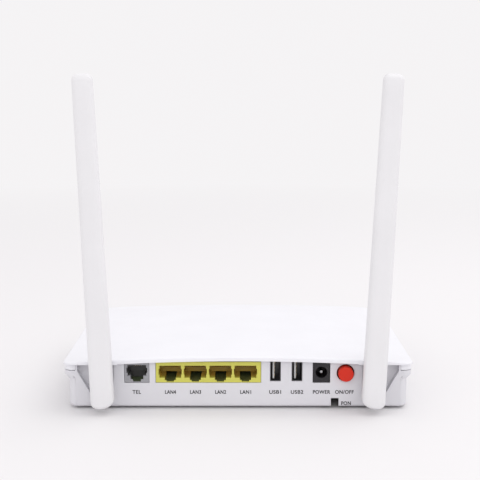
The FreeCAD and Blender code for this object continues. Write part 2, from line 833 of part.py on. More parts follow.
def make_main_board():
    body = new_body("main_board")
    sketch = new_sketch(body, "board_outline", "XY_Plane", BOARD_BOTTOM)
    rear, front = PORTS + S.wall + S.board_gap, 60.0
    behind_seat = SEAT_FLOOR + S.wall * 2
    right = S.board_half + S.board_side_extra
    tab_edge, tab_margin = S.post_offset + S.board_tab_reach, 6
    tab_rear, tab_front = S.key_rear - S.key_spacing - tab_margin, S.key_rear + S.key_spacing + tab_margin
    outline(sketch, [
        (-S.board_half, rear),
        (S.board_half, rear),
        (S.board_half, behind_seat),
        (right, behind_seat),
        (right, tab_rear),
        (tab_edge, tab_rear),
        (tab_edge, tab_front),
        (right, tab_front),
        (right, front),
        (-S.board_half, front),
    ])
    pad(body, "board", sketch, S.board_thickness)
    hole_radius = 1.5
    holes = new_sketch(body, "board_holes", "XY_Plane", S.board_top + PAST)
    for x, y in board_screw_places():
        circle(holes, x, y, hole_radius)
    pocket(body, "screw_holes", holes, S.board_thickness + PAST * 2)
    keep(body, "main_board")


def make_board_screws():
    shank_length, shank_radius, head_radius, head_height = 6.0, 1.2, 2.4, 1.5
    screws = []
    for x, y in board_screw_places():
        screws.append(screw(f"board_screw_{len(screws)}", x, y, S.board_top, shank_length, shank_radius,
                            head_radius, head_height, False))
    keep(group("board_fixings", screws), "board_screws")


def make_heat_sink():
    """A finned block that stands on the pad over the processor."""
    base, tall, fin, pitch, count = 1.8, 7.6, 1.1, 3.4, 8
    left, rear, length = -14.0, -14.0, 26.0
    body = new_body("processor_heat_sink")
    low = S.board_top + BOARD_BLOCKS["processor_chip"][0][2] + THERMAL_PAD[2]
    sketch = new_sketch(body, "fin_profile", "XZ_Plane", -(rear + length))
    points = [(left, low), (left + pitch * (count - 1) + fin, low)]
    for index in reversed(range(count)):
        x = left + pitch * index
        points += [(x + fin, low + tall), (x, low + tall)]
        if index:
            points += [(x, low + base), (x - pitch + fin, low + base)]
    outline(sketch, points)
    pad(body, "fins", sketch, length)
    keep(body, "processor_heat_sink")


# What stands on the board: the size of one block, then the middle of each.
BOARD_BLOCKS = {
    "processor_chip": ((21.0, 21.0, 1.9), [(-1.5, -1.0)]),
    "memory_chips": ((9.0, 13.0, 1.1), [(20.0, -4.0), (32.0, -4.0)]),
    "flash_chip": ((8.0, 6.0, 1.6), [(27.0, 14.0)]),
    "phone_line_chips": ((7.0, 7.0, 1.1), [(-56.0, -18.0), (-46.0, -18.0)]),
    "power_inductors": ((7.3, 7.3, 4.2), [(58.5, -24.5), (58.5, 3.5)]),
    "crystal_cans": ((5.0, 3.2, 1.2), [(-20.0, -20.0), (6.0, -20.0)]),
    "antenna_connectors": ((3.0, 3.0, 1.2), [(-52.0, -4.0), (52.0, -4.0)]),
}
THERMAL_PAD = (18.0, 18.0, 0.4)
# The row of isolating transformers behind the network sockets: the size of each, and how far behind.
TRANSFORMER = (12.0, 9.0, 5.6)
TRANSFORMER_OFFSET = 10.0
# Electrolytic cans: middle, radius and height of each.
CAPACITOR_CANS = [
    (35.0, -33.0, 4.0, 10.0),
    (44.5, -33.0, 4.0, 10.0),
    (44.5, -22.0, 3.15, 8.0),
    (36.0, -20.0, 3.15, 8.0),
    (58.0, -12.0, 4.0, 10.0),
]
# Folded shields over the radio and the optical receiver: length, width and middle of each.
SHIELD_CANS = {
    "wifi_shield_can": (30.0, 24.0, -44.0, 24.0),
    "optics_shield_can": (22.0, 26.0, 52.0, 22.0),
}
SHIELD_HEIGHT = 2.6
SHIELD_SHEET = 0.3


def make_board_parts():
    top = S.board_top
    for label, (lengths, middles) in BOARD_BLOCKS.items():
        blocks = [centred_block(f"{label}_{index}", lengths, x, y, top)
                  for index, (x, y) in enumerate(middles)]
        keep(group(f"{label}_group", blocks), label)
    for label, (length, width, x, y) in SHIELD_CANS.items():
        outer = centred_block(f"{label}_outer", (length, width, SHIELD_HEIGHT), x, y, top)
        inner = (length - SHIELD_SHEET * 2, width - SHIELD_SHEET * 2, SHIELD_HEIGHT - SHIELD_SHEET)
        keep(cut(f"{label}_folded", outer, centred_block(f"{label}_inner", inner, x, y, top)), label)
    (_, _, processor_height), [(processor_x, processor_y)] = BOARD_BLOCKS["processor_chip"]
    keep(centred_block("pad_sheet", THERMAL_PAD, processor_x, processor_y, top + processor_height),
         "thermal_pad")
    formers = [
        centred_block(f"former_{port}", TRANSFORMER, S.lan_across + S.lan_pitch * (port - 1.5),
                      PORTS + S.lan_depth + TRANSFORMER_OFFSET, top)
        for port in range(LAN_PORTS)
    ]
    keep(group("formers", formers), "lan_transformers")
    cans = [rod(f"can_{index}", radius, tall, (x, y, top))
            for index, (x, y, radius, tall) in enumerate(CAPACITOR_CANS)]
    keep(group("capacitor_cans", cans), "power_capacitors")


# Sockets

# Heights are over the feet. The groove is the wider band in the middle of the mouth's sides.
LAN_JACK = {"half": 6.0, "low": 17.9, "high": 24.75, "groove_half": 6.45, "groove_low": 19.6,
            "groove_high": 22.9, "tab_half": 3.1, "tab_low": 16.5, "tip_half": 2.05, "tip_low": 15.65,
            "depth": 13.5}
TEL_JACK = {"half": 5.2, "low": 19.1, "high": 25.1, "groove_half": 5.8, "groove_low": 20.6,
            "groove_high": 23.6, "tab_half": 3.6, "tab_low": 17.0, "tip_half": 2.2, "tip_low": 15.65,
            "depth": 11.0}
LATCH_LIP = 1.1  # the thickness of the socket's face under the latch slot

# Contact wires: pitch, thickness, length, the height and setback of the front end, and the rise in degrees.
CONTACT_PITCH = 1.02
CONTACT_WIRE = 0.3
LAN_CONTACT = {"count": 8, "length": 9.7, "height": 22.3, "setback": 3.9, "rise": 12.0}
TEL_CONTACT = {"count": 4, "length": 8.1, "height": 22.8, "setback": 2.9, "rise": 11.0}


def jack_opening(sketch, across, jack):
    """The opening of a modular jack: a wide mouth over a stepped slot for the latch."""
    right_side = [
        (jack["tip_half"], jack["tip_low"]),
        (jack["tip_half"], jack["tab_low"]),
        (jack["tab_half"], jack["tab_low"]),
        (jack["tab_half"], jack["low"]),
        (jack["half"], jack["low"]),
        (jack["half"], jack["groove_low"]),
        (jack["groove_half"], jack["groove_low"]),
        (jack["groove_half"], jack["groove_high"]),
        (jack["half"], jack["groove_high"]),
        (jack["half"], jack["high"]),
    ]
    left_side = [(-x, z) for x, z in reversed(right_side)]
    outline(sketch, [(across + x, z) for x, z in right_side + left_side])


def socket_body(name, across, width, depth, height):
    body = new_body(name)
    sketch = new_sketch(body, "body_outline", "XZ_Plane", -PORTS - S.socket_setback)
    rectangle(sketch, across - width / 2, across + width / 2, S.board_top, S.board_top + height)
    pad(body, "housing", sketch, depth, backwards=True)
    return body


def cut_latch_ways(body, middles, jack, back):
    """Open the latch slots down to the board, behind a thin lip at the mouth."""
    ways = new_sketch(body, "latch_way_outline", "XY_Plane", S.board_top)
    for middle in middles:
        rectangle(ways, middle - jack["tab_half"], middle + jack["tab_half"], PORTS + LATCH_LIP, back)
    pocket(body, "latch_ways", ways, -S.board_top + jack["low"], backwards=True)


def make_contact_wires(name, label, middles, contact):
    """Straight spring wires that slope up and back from the roof of each mouth."""
    wires = []
    for middle in middles:
        for index in range(contact["count"]):
            x = middle + CONTACT_PITCH * (index - (contact["count"] - 1) / 2) - CONTACT_WIRE / 2
            wire = block(f"{name}_{len(wires)}", (CONTACT_WIRE, contact["length"], CONTACT_WIRE),
                         (x, PORTS + contact["setback"], contact["height"]))
            wire.Placement = Placement(wire.Placement.Base, Rotation(Vector(1, 0, 0), contact["rise"]))
            wires.append(wire)
    keep(group(f"{name}_group", wires), label)


def make_lan_sockets():
    body = socket_body("lan_socket_block", S.lan_across, S.lan_width, S.lan_depth, S.lan_height)
    mouth = new_sketch(body, "mouth_outline", "XZ_Plane", -PORTS)
    row_offset = 0.3
    first = S.lan_across - S.lan_pitch * ((LAN_PORTS - 1) / 2) - row_offset
    jack_opening(mouth, first, LAN_JACK)
    opening = pocket(body, "mouth", mouth, LAN_JACK["depth"])
    pattern(body, "mouths", opening, mouth, "H_Axis", S.lan_pitch * (LAN_PORTS - 1), LAN_PORTS)
    middles = [first + S.lan_pitch * port for port in range(LAN_PORTS)]
    cut_latch_ways(body, middles, LAN_JACK, PORTS + S.lan_depth + PAST)
    keep(body, "lan_socket_block")
    make_contact_wires("lan_wire", "lan_contacts", middles, LAN_CONTACT)


def make_tel_socket():
    depth = 14.0
    body = socket_body("tel_socket", S.tel_across, S.tel_width, depth, S.tel_height)
    mouth = new_sketch(body, "mouth_outline", "XZ_Plane", -PORTS)
    jack_opening(mouth, S.tel_across, TEL_JACK)
    pocket(body, "mouth", mouth, TEL_JACK["depth"])
    cut_latch_ways(body, [S.tel_across], TEL_JACK, PORTS + TEL_JACK["depth"] + PAST)
    keep(body, "tel_socket")
    make_contact_wires("tel_wire", "tel_contacts", [S.tel_across], TEL_CONTACT)


# Inside a serial bus socket, from the middle of the shell, its face and its lower edge.
USB_LEG_SETBACKS = (3.0, 11.0)
USB_LEG_LENGTH = 1.2
USB_TONGUE = {"width": 1.7, "height": 11.1, "left": -2.15, "setback": 1.2, "lift": 1.1, "end_gap": 0.4}
USB_PAD = {"thickness": 0.15, "length": 7.0, "height": 1.1, "setback": 2.6, "lift": 2.3, "pitch": 2.35,
           "count": 4}


def make_usb_socket(number, across):
    """A shell standing on its edge, and its tongue. The contact pads are returned."""
    low = USB_LOW
    front = PORTS + S.socket_setback
    body = new_body(f"usb_shell_{number}")
    sketch = new_sketch(body, "shell_outline", "XZ_Plane", -front)
    half = S.usb_width / 2
    rectangle(sketch, across - half, across + half, low, low + S.usb_height)
    pad(body, "shell", sketch, S.usb_depth, backwards=True)
    mouth = new_sketch(body, "mouth_outline", "XZ_Plane", -front)
    rectangle(mouth, across - half + S.usb_wall, across + half - S.usb_wall,
              low + S.usb_wall, low + S.usb_height - S.usb_wall)
    pocket(body, "mouth", mouth, S.usb_depth - S.usb_wall)
    legs = new_sketch(body, "leg_outline", "XY_Plane", S.board_top)
    for setback in USB_LEG_SETBACKS:
        rectangle(legs, across - half, across + half, front + setback, front + setback + USB_LEG_LENGTH)
    pad(body, "legs", legs, S.usb_lift + SINK)
    keep(body, f"usb_shell_{number}")

    tongue_length = S.usb_depth - USB_TONGUE["setback"] - USB_TONGUE["end_gap"]
    tongue_left = across + USB_TONGUE["left"]
    tongue = block(f"tongue_{number}", (USB_TONGUE["width"], tongue_length, USB_TONGUE["height"]),
                   (tongue_left, front + USB_TONGUE["setback"], low + USB_TONGUE["lift"]))
    keep(tongue, f"usb_tongue_{number}")
    return [
        block(f"usb_{number}_contact_{index}", (USB_PAD["thickness"], USB_PAD["length"], USB_PAD["height"]),
              (tongue_left + USB_TONGUE["width"], front + USB_PAD["setback"],
               low + USB_PAD["lift"] + USB_PAD["pitch"] * index))
        for index in range(USB_PAD["count"])
    ]


def make_usb_sockets():
    contacts = make_usb_socket(1, S.usb_one_across) + make_usb_socket(2, S.usb_two_across)
    keep(group("usb_pads", contacts), "usb_contacts")


def with_round_end(rod_item, name, radius):
    """A rod along Y with the edge of its -Y end rounded."""
    doc.recompute()
    edges = rod_item.Shape.Edges
    end = min(range(len(edges)), key=lambda index: edges[index].BoundBox.Center.y)
    rounded = doc.addObject("Part::Fillet", name)
    rounded.Base = rod_item
    rounded.Edges = [(end + 1, radius, radius)]
    return rounded


def make_power_socket():
    depth, bore_depth = 14.2, 10.5
    pin_radius, pin_setback, pin_length, pin_round = 1.0, 1.3, 9.2, 0.6
    body = socket_body("power_socket", S.power_across, S.power_width, depth, S.power_height)
    bore = new_sketch(body, "bore_outline", "XZ_Plane", -PORTS)
    circle(bore, S.power_across, S.power_axis_height, S.power_bore_radius)
    pocket(body, "bore", bore, bore_depth)
    keep(body, "power_socket")
    pin = rod("pin_rod", pin_radius, pin_length,
              (S.power_across, PORTS + pin_setback, S.power_axis_height), "y")
    keep(with_round_end(pin, "pin_rounded", pin_round), "power_socket_pin")


# The optical parts hang under the board at the inner end of the fibre bay. For each block: length,
# width and height, its middle behind the receptacle's middle, and its lower face under the board.
RECEPTACLE_OFFSET = 58.0
OPTICS = {
    "module": ((12.4, 27.0, 7.4), 20.0, 7.4),
    "receptacle_outer": ((12.4, 13.0, 9.2), 0.0, 9.2),
    "receptacle_room": ((9.3, 10.0, 7.4), -2.0, 8.3),
    "plug_body": ((8.9, 8.0, 7.0), -3.6, 8.1),
    "plug_flange": ((12.0, 1.6, 9.0), -7.6, 9.1),
    "plug_tab": ((4.0, 7.0, 3.0), -11.4, 6.1),
}
FIBRE_DROP = 4.6  # the fibre's axis under the board
# Radius, length and start of each round part.
FERRULE = (1.25, 7.0, -3.0)
PLUG_BORE = (1.6, 8.0, -4.6)


def make_optics():
    x, middle = S.fibre_across, PORTS + S.wall + RECEPTACLE_OFFSET
    blocks = {
        name: centred_block(name, lengths, x, middle + behind, BOARD_BOTTOM - drop)
        for name, (lengths, behind, drop) in OPTICS.items()
    }
    ferrule, plug_bore = (
        rod(name, radius, length, (x, middle + behind, BOARD_BOTTOM - FIBRE_DROP), "y")
        for name, (radius, length, behind) in (("ferrule", FERRULE), ("plug_bore", PLUG_BORE))
    )
    keep(blocks["module"], "optical_module")
    shell = cut("receptacle_shell", blocks["receptacle_outer"], blocks["receptacle_room"])
    keep(fuse("receptacle", [shell, ferrule]), "optical_receptacle")
    plug = fuse("dust_plug_blank", [blocks["plug_body"], blocks["plug_flange"], blocks["plug_tab"]])
    keep(cut("dust_plug", plug, plug_bore), "optical_dust_cap")


# Controls and indicators

def make_power_button():
    """The round cap with a square stem, which runs into the throat of its switch."""
    cap_length, cap_round = 9.6, 0.7
    stem_side, stem_length = 2.8, 4.0
    throat_side, throat_length = 3.6, 6.0
    switch_size, switch_behind = (8.6, 10.0, 9.2), 16.2
    x, z = S.button_across, S.button_axis_height
    front = PORTS - S.button_proud
    blank = rod("cap", S.button_radius, cap_length, (x, front, z), "y")
    cap = with_round_end(blank, "cap_rounded", cap_round)
    stem_overlap = 0.6
    stem_middle = front + cap_length + stem_length / 2 - stem_overlap
    stem = centred_block("cap_stem", (stem_side, stem_length, stem_side), x, stem_middle, z - stem_side / 2)
    keep(fuse("button", [cap, stem]), "power_button")

    switch_middle = PORTS + switch_behind
    switch = centred_block("switch_outer", switch_size, x, switch_middle, S.board_top)
    throat = centred_block("switch_throat", (throat_side, throat_length, throat_side), x,
                           switch_middle - 4.0, z - throat_side / 2)
    keep(cut("switch", switch, throat), "power_switch_body")


# The side keys: the length of each piece along X, then its middle inside the tub's side.
KEY_CAP = (4.2, 1.1)
KEY_FLANGE = (1.2, 2.9)
KEY_STEM = (4.2, 5.0)
KEY_FLANGE_MARGIN = 1.2
KEY_STEM_SIZE = (2.6, 1.6)
KEY_STEM_LIFT = 0.3
KEY_SWITCH = (3.6, 6.4, 3.6)


def make_side_keys():
    switch_x = S.post_offset + S.board_tab_reach - KEY_SWITCH[0] / 2
    low = S.key_height - S.key_tall / 2
    switches = []
    for step, label in enumerate(("wifi_button", "pairing_button")):
        y = S.key_rear + S.key_spacing * step
        cap = centred_block(f"{label}_cap", (KEY_CAP[0], S.key_width, S.key_tall), TUB_HALF - KEY_CAP[1], y,
                            low)
        flange_drop = 0.4
        flange_size = (KEY_FLANGE[0], S.key_width + KEY_FLANGE_MARGIN * 2, S.key_tall + 0.5)
        flange = centred_block(f"{label}_flange", flange_size, TUB_HALF - KEY_FLANGE[1], y,
                               low - flange_drop)
        stem = centred_block(f"{label}_stem", (KEY_STEM[0], *KEY_STEM_SIZE), TUB_HALF - KEY_STEM[1], y,
                             S.key_height + KEY_STEM_LIFT)
        keep(fuse(f"{label}_blank", [cap, flange, stem]), label)
        switches.append(centred_block(f"key_switch_{step}", KEY_SWITCH, switch_x, y, S.board_top))
    keep(group("key_switches", switches), "side_key_switches")
    reset_y = S.key_rear - S.key_spacing
    keep(centred_block("reset", KEY_SWITCH, switch_x, reset_y, S.board_top), "reset_switch")


def make_indicators():
    """A clear guide with one arm from each lamp on the board to its window, joined by a bridge."""
    count = int(S.lamp_count.number)
    lamp_y, lamp_side, lamp_height = 57.5, 1.6, 0.8
    arm_gap, arm_half, lamp_room = 0.15, 1.0, 1.2
    low_bend, high_bend = 2.0, 3.6
    bridge_rear, bridge_front, bridge_inset = 4.0, 7.0, 0.1
    body = new_body("light_guide")
    profile = new_sketch(body, "guide_profile", "YZ_Plane", FIRST_LAMP - S.lamp_width / 2 + arm_gap)
    low = S.lamp_height - S.lamp_tall / 2 + arm_gap
    high = S.lamp_height + S.lamp_tall / 2 - arm_gap
    end = FRONT - arm_gap * 2
    outline(profile, [
        (lamp_y - arm_half, S.board_top + lamp_room),
        (lamp_y + arm_half, S.board_top + lamp_room),
        (lamp_y + arm_half, low - low_bend, low_bend, -1),
        (lamp_y + arm_half + low_bend, low),
        (end, low),
        (end, high),
        (lamp_y - arm_half + high_bend, high, high_bend, 1),
        (lamp_y - arm_half, high - high_bend),
    ])
    arm = pad(body, "arm", profile, S.lamp_width - arm_gap * 2)
    step = new_sketch(body, "pattern_axis", "XZ_Plane", 0.0)
    pattern(body, "arms", arm, step, "H_Axis", S.lamp_pitch * (S.lamp_count - 1), count)
    bridge = new_sketch(body, "bridge_outline", "YZ_Plane", FIRST_LAMP)
    rectangle(bridge, lamp_y + bridge_rear, lamp_y + bridge_front, low + bridge_inset, high - bridge_inset)
    pad(body, "bridge", bridge, S.lamp_pitch * (S.lamp_count - 1))
    keep(body, "light_guide")
    lamps = [
        centred_block(f"lamp_{index}", (lamp_side, lamp_side, lamp_height),
                      FIRST_LAMP + S.lamp_pitch * index, lamp_y, S.board_top)
        for index in range(count)
    ]
    keep(group("lamps", lamps), "indicator_leds")


# Antennas

def paddle_outline(sketch, width, thickness, radius):
    """An oblong section about the antenna's own axis, with rounded corners."""
    half_x, half_y = width / 2, thickness / 2
    outline(sketch, [
        (-half_x + radius, -half_y),
        (half_x - radius, -half_y, radius, 1),
        (half_x, -half_y + radius),
        (half_x, half_y - radius, radius, 1),
        (half_x - radius, half_y),
        (-half_x + radius, half_y, radius, 1),
        (-half_x, half_y - radius),
        (-half_x, -half_y + radius, radius, 1),
    ])


def paddle_loft(body, name, kind, stations):
    sketches = []
    for index, (height, width, thickness, radius) in enumerate(stations):
        sketch = new_sketch(body, f"{name}_section_{index}", "XY_Plane", height)
        paddle_outline(sketch, width, thickness, radius)
        sketches.append(sketch)
    loft = body.newObject(f"PartDesign::{kind}", name)
    loft.Profile = sketches[0]
    loft.Sections = sketches[1:]
    loft.Ruled = True
    return loft


def lean(item, side):
    """Stand a piece made about the pivot on its own side, leaning outwards."""
    turn = Rotation(Vector(0, 1, 0), side * S.splay.number)
    item.Placement = Placement(Vector(), turn)
    bind(item, "Placement.Rotation.Angle", S.splay * side)
    return place(item, S.pivot_across * side, ANTENNA_MIDDLE, S.pivot_height)


def tip_stations(steps=6):
    """Shrinking sections that round the paddle's upper end, as a quarter circle would."""
    stations = []
    for step in range(steps):
        turn = math.radians(80.0 * step / (steps - 1))
        inset = S.tip_round * (1 - math.cos(turn))
        stations.append((
            S.antenna_above - S.tip_round * (1 - math.sin(turn)),
            S.antenna_tip_width - inset * 2,
            S.antenna_tip_thickness - inset * 2,
            S.tip_corner - inset,
        ))
    return stations


def make_sleeve(side_name, side):
    """The hollow paddle. Its lower end is rounded, and a little lower on the outer side."""
    base_corner, hollow_corner, hollow_tip_corner = 3.6, 2.3, 1.9
    foot_wall, tip_wall = 3.2, 5.0
    body = new_body(f"{side_name}_antenna_sleeve")
    paddle_loft(body, "skin", "AdditiveLoft", [
        (-S.antenna_below, S.antenna_width, S.antenna_thickness, base_corner),
        *tip_stations(),
    ])
    below = new_sketch(body, "foot_outline", "XZ_Plane", -S.antenna_thickness)
    half = S.antenna_width / 2 + SINK
    rises = (S.foot_rise_inner, S.foot_rise_outer) if side > 0 else (S.foot_rise_outer, S.foot_rise_inner)
    outline(below, [
        (-half, -S.antenna_below - PAST),
        (half, -S.antenna_below - PAST),
        (half, -S.antenna_below + rises[1], arch_radius(half, S.foot_sag), -1),
        (-half, -S.antenna_below + rises[0]),
    ])
    pocket(body, "rounded_foot", below, S.antenna_thickness * 2, backwards=True)
    inner = S.antenna_wall * 2
    paddle_loft(body, "hollow", "SubtractiveLoft", [
        (-S.antenna_below + foot_wall, S.antenna_width - inner, S.antenna_thickness - inner, hollow_corner),
        (S.antenna_above - tip_wall, S.antenna_tip_width - inner, S.antenna_tip_thickness - inner,
         hollow_tip_corner),
    ])
    bore = new_sketch(body, "hub_bore_outline", "XZ_Plane", S.antenna_thickness / 2 - S.antenna_wall - SINK)
    circle(bore, 0.0, 0.0, S.hub_radius)
    pocket(body, "hub_bore", bore, S.antenna_thickness)
    lean(body, side)
    keep(body, f"{side_name}_antenna_sleeve")


def make_hub(side_name, side):
    """The round pivot: a flanged drum in the sleeve and a hollow stem through the hinge seat."""
    drum_start, drum_end_gap, drum_fit = 0.3, 0.75, 0.05
    stem_tail, groove_start, groove_depth, groove_width = 2.8, 0.6, 0.5, 0.8
    duct_radius, way_half, way_top, way_height = 1.2, 1.0, 1.6, 8.0
    floor = SEAT_FLOOR - ANTENNA_MIDDLE
    back = floor + S.wall
    body = new_body(f"{side_name}_antenna_hub")
    first = -S.antenna_thickness / 2 + S.antenna_wall + drum_start
    drum = new_sketch(body, "drum_outline", "XZ_Plane", -first)
    circle(drum, 0.0, 0.0, S.hub_radius - drum_fit)
    pad(body, "drum", drum, floor - drum_end_gap - first, backwards=True)
    stem = new_sketch(body, "stem_outline", "XZ_Plane", 0.0)
    circle(stem, 0.0, 0.0, S.stem_radius)
    pad(body, "stem", stem, back + stem_tail, backwards=True)
    groove = new_sketch(body, "groove_outline", "XZ_Plane", -(back + groove_start))
    circle(groove, 0.0, 0.0, S.stem_radius + PAST)
    circle(groove, 0.0, 0.0, S.stem_radius - groove_depth)
    pocket(body, "groove", groove, groove_width)
    duct = new_sketch(body, "duct_outline", "XZ_Plane", 0.0)
    circle(duct, 0.0, 0.0, duct_radius)
    pocket(body, "duct", duct, back + stem_tail + PAST)
    way_up = new_sketch(body, "way_up_outline", "XY_Plane", 0.0)
    rectangle(way_up, -way_half, way_half, -way_half, way_top)
    pocket(body, "way_up", way_up, way_height, backwards=True)
    lean(body, side)
    keep(body, f"{side_name}_antenna_hub")


def bent_wire(points, radius, bend):
    """A round wire along straight runs joined by arcs of one bend radius."""
    edges = []
    start = points[0]
    for index in range(1, len(points) - 1):
        corner = points[index]
        back = (points[index - 1] - corner).normalize()
        ahead = (points[index + 1] - corner).normalize()
        half_angle = back.getAngle(ahead) / 2
        reach = bend / math.tan(half_angle)
        entry, leave = corner + back * reach, corner + ahead * reach
        bisector = (back + ahead).normalize()
        middle = corner + bisector * (bend / math.sin(half_angle) - bend)
        edges += [Part.LineSegment(start, entry).toShape(), Part.Arc(entry, middle, leave).toShape()]
        start = leave
    edges.append(Part.LineSegment(start, points[-1]).toShape())
    path = Part.Wire(edges)
    section = Part.Wire(Part.Circle(points[0], points[1] - points[0], radius).toShape())
    return path.makePipeShell([section], True, False)


def make_antenna_hardware(side_name, side):
    """The washer and the spring clip on the stem, and the radiator and its feed in the paddle."""
    washer_radius, washer_thickness, washer_gap = 4.6, 0.4, 0.3
    clip_radius, clip_thickness, clip_start, clip_mouth, clip_bite = 4.4, 0.6, 0.7, 3.6, 0.5
    radiator_size, radiator_low = (8.0, 0.8, 128.0), 12.0
    feed_radius, feed_bend, feed_top, feed_tail = 0.6, 1.5, 11.8, 2.6
    x, z = S.pivot_across * side, S.pivot_height

    washer_y = SEAT_FLOOR - washer_gap - washer_thickness
    washer_disc = rod(f"{side_name}_washer_disc", washer_radius, washer_thickness, (x, washer_y, z), "y")
    washer_hole = rod(f"{side_name}_washer_hole", S.stem_radius + S.seam_gap, PAST,
                      (x, washer_y - washer_gap, z), "y")
    keep(cut(f"{side_name}_washer", washer_disc, washer_hole), f"{side_name}_antenna_washer")

    clip_y = SEAT_FLOOR + S.wall + clip_start
    clip_disc = rod(f"{side_name}_clip_disc", clip_radius, clip_thickness, (x, clip_y, z), "y")
    clip_hole = rod(f"{side_name}_clip_hole", S.stem_radius - clip_bite, PAST, (x, clip_y - SINK, z), "y")
    clip_gap = centred_block(f"{side_name}_clip_gap", (clip_mouth, PAST, clip_radius + clip_thickness),
                             x, clip_y + clip_thickness / 2, z - clip_radius - clip_thickness)
    clip_cut = fuse(f"{side_name}_clip_cut", [clip_hole, clip_gap])
    keep(cut(f"{side_name}_clip", clip_disc, clip_cut), f"{side_name}_antenna_clip")

    radiator = doc.addObject("Part::Box", f"{side_name}_radiator")
    for prop, size in zip(("Length", "Width", "Height"), radiator_size):
        bind(radiator, prop, size)
    frame = Placement(Vector(S.pivot_across.number * side, ANTENNA_MIDDLE.number, S.pivot_height.number),
                      Rotation(Vector(0, 1, 0), side * S.splay.number))
    corner = Vector(-radiator_size[0] / 2, -radiator_size[1] / 2, radiator_low)
    radiator.Placement = frame * Placement(corner, Rotation())
    keep(radiator, f"{side_name}_antenna_radiator")

    feed = doc.addObject("Part::Feature", f"{side_name}_feed")
    stem_end = SEAT_FLOOR.number + S.wall.number + feed_tail - ANTENNA_MIDDLE.number
    route = [Vector(0, 0, feed_top), Vector(0, 0, 0), Vector(0, stem_end, 0)]
    feed.Shape = bent_wire(route, feed_radius, feed_bend)
    feed.Placement = frame
    keep(feed, f"{side_name}_antenna_feed")


def make_lead(side_name, side):
    """The thin coaxial lead from the hinge stem to its connector on the board."""
    lead_radius, lead_bend, start_gap = 0.65, 4.0, 3.6
    connector_x, connector_y = BOARD_BLOCKS["antenna_connectors"][1][1]
    top = S.board_top.number
    start_y = SEAT_FLOOR.number + S.wall.number + start_gap
    x, z = S.pivot_across.number, S.pivot_height.number
    over_board_x = x - 0.6
    route = [
        Vector(x, start_y, z),
        Vector(x, start_y + 9, z),
        Vector(over_board_x, start_y + 18, top + 3.6),
        Vector(over_board_x - 9, connector_y - 6, top + 3.2),
        Vector(connector_x, connector_y, top + 1.9),
    ]
    if side < 0:
        route = [Vector(-point.x, point.y, point.z) for point in route]
    lead = doc.addObject("Part::Feature", f"{side_name}_lead")
    lead.Shape = bent_wire(route, lead_radius, lead_bend)
    lead.Placement = Placement()
    keep(lead, f"{side_name}_antenna_lead")


# Build

make_top_cover()
make_bottom_shell()
make_rubber_feet()
make_case_screws()
make_rating_label()
make_main_board()
make_board_screws()
make_heat_sink()
make_board_parts()
make_lan_sockets()
make_tel_socket()
make_usb_sockets()
make_power_socket()
make_optics()
make_power_button()
make_side_keys()
make_indicators()
for side_name, side in (("left", -1), ("right", 1)):
    make_sleeve(side_name, side)
    make_hub(side_name, side)
    make_antenna_hardware(side_name, side)
    make_lead(side_name, side)

doc.recompute()
for item in doc.Objects:
    if "Invalid" in item.State or "Error" in item.State:
        raise RuntimeError(f"{item.Name} failed: {item.State}")
for item in nodes:
    if item.Shape.isNull() or not item.Shape.isValid():
        raise RuntimeError(f"{item.Label} has no valid shape")
    if not item.Shape.Solids:
        raise RuntimeError(f"{item.Label} has no solid")

os.makedirs("parts", exist_ok=True)
for item in nodes:
    item.Shape.exportStep(f"parts/{item.Label}.step")
    box = item.Shape.BoundBox
    print(f"{item.Label:26s} solids {len(item.Shape.Solids):3d}  volume {item.Shape.Volume:9.1f}  "
          f"x {box.XMin:7.2f} {box.XMax:7.2f}  y {box.YMin:7.2f} {box.YMax:7.2f}  "
          f"z {box.ZMin:6.2f} {box.ZMax:6.2f}")
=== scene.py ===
import json
import math

import bmesh
import bpy
from mathutils import Matrix, Vector

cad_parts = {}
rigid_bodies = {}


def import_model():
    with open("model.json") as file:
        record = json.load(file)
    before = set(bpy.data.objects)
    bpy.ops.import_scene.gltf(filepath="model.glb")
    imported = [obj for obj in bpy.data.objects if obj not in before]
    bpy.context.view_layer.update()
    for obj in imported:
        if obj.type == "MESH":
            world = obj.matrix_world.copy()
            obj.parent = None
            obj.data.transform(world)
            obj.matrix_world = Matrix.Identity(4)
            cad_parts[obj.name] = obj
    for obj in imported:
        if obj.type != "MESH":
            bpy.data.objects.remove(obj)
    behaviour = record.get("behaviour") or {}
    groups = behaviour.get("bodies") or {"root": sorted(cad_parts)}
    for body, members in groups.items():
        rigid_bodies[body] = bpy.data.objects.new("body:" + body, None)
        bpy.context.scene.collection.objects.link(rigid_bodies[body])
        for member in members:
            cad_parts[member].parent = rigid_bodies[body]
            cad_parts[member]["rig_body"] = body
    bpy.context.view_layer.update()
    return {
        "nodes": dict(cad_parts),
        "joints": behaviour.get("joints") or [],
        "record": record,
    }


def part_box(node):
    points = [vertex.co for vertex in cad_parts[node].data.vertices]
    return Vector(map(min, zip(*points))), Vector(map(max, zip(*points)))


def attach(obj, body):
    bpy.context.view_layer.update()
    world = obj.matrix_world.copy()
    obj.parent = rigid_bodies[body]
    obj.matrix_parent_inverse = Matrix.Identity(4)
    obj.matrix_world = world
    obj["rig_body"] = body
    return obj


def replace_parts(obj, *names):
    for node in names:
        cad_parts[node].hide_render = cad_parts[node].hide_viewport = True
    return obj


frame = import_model()

MM = 0.001
HOUSING = "housing"
SOCKET_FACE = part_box("lan_socket_block")[0].y


# Materials

# Noise scales, in features per metre.
CLOUD_SCALE = 38.0
GLOSS_SCALE = 160.0
TRACK_SCALE = 260.0
WEAVE_SCALE = 1500.0

# A socket's inside is painted darker, as painted shade, between these distances behind its face, in
# millimetres.
SHADE_FROM = 0.4
SHADE_TO = 5.0


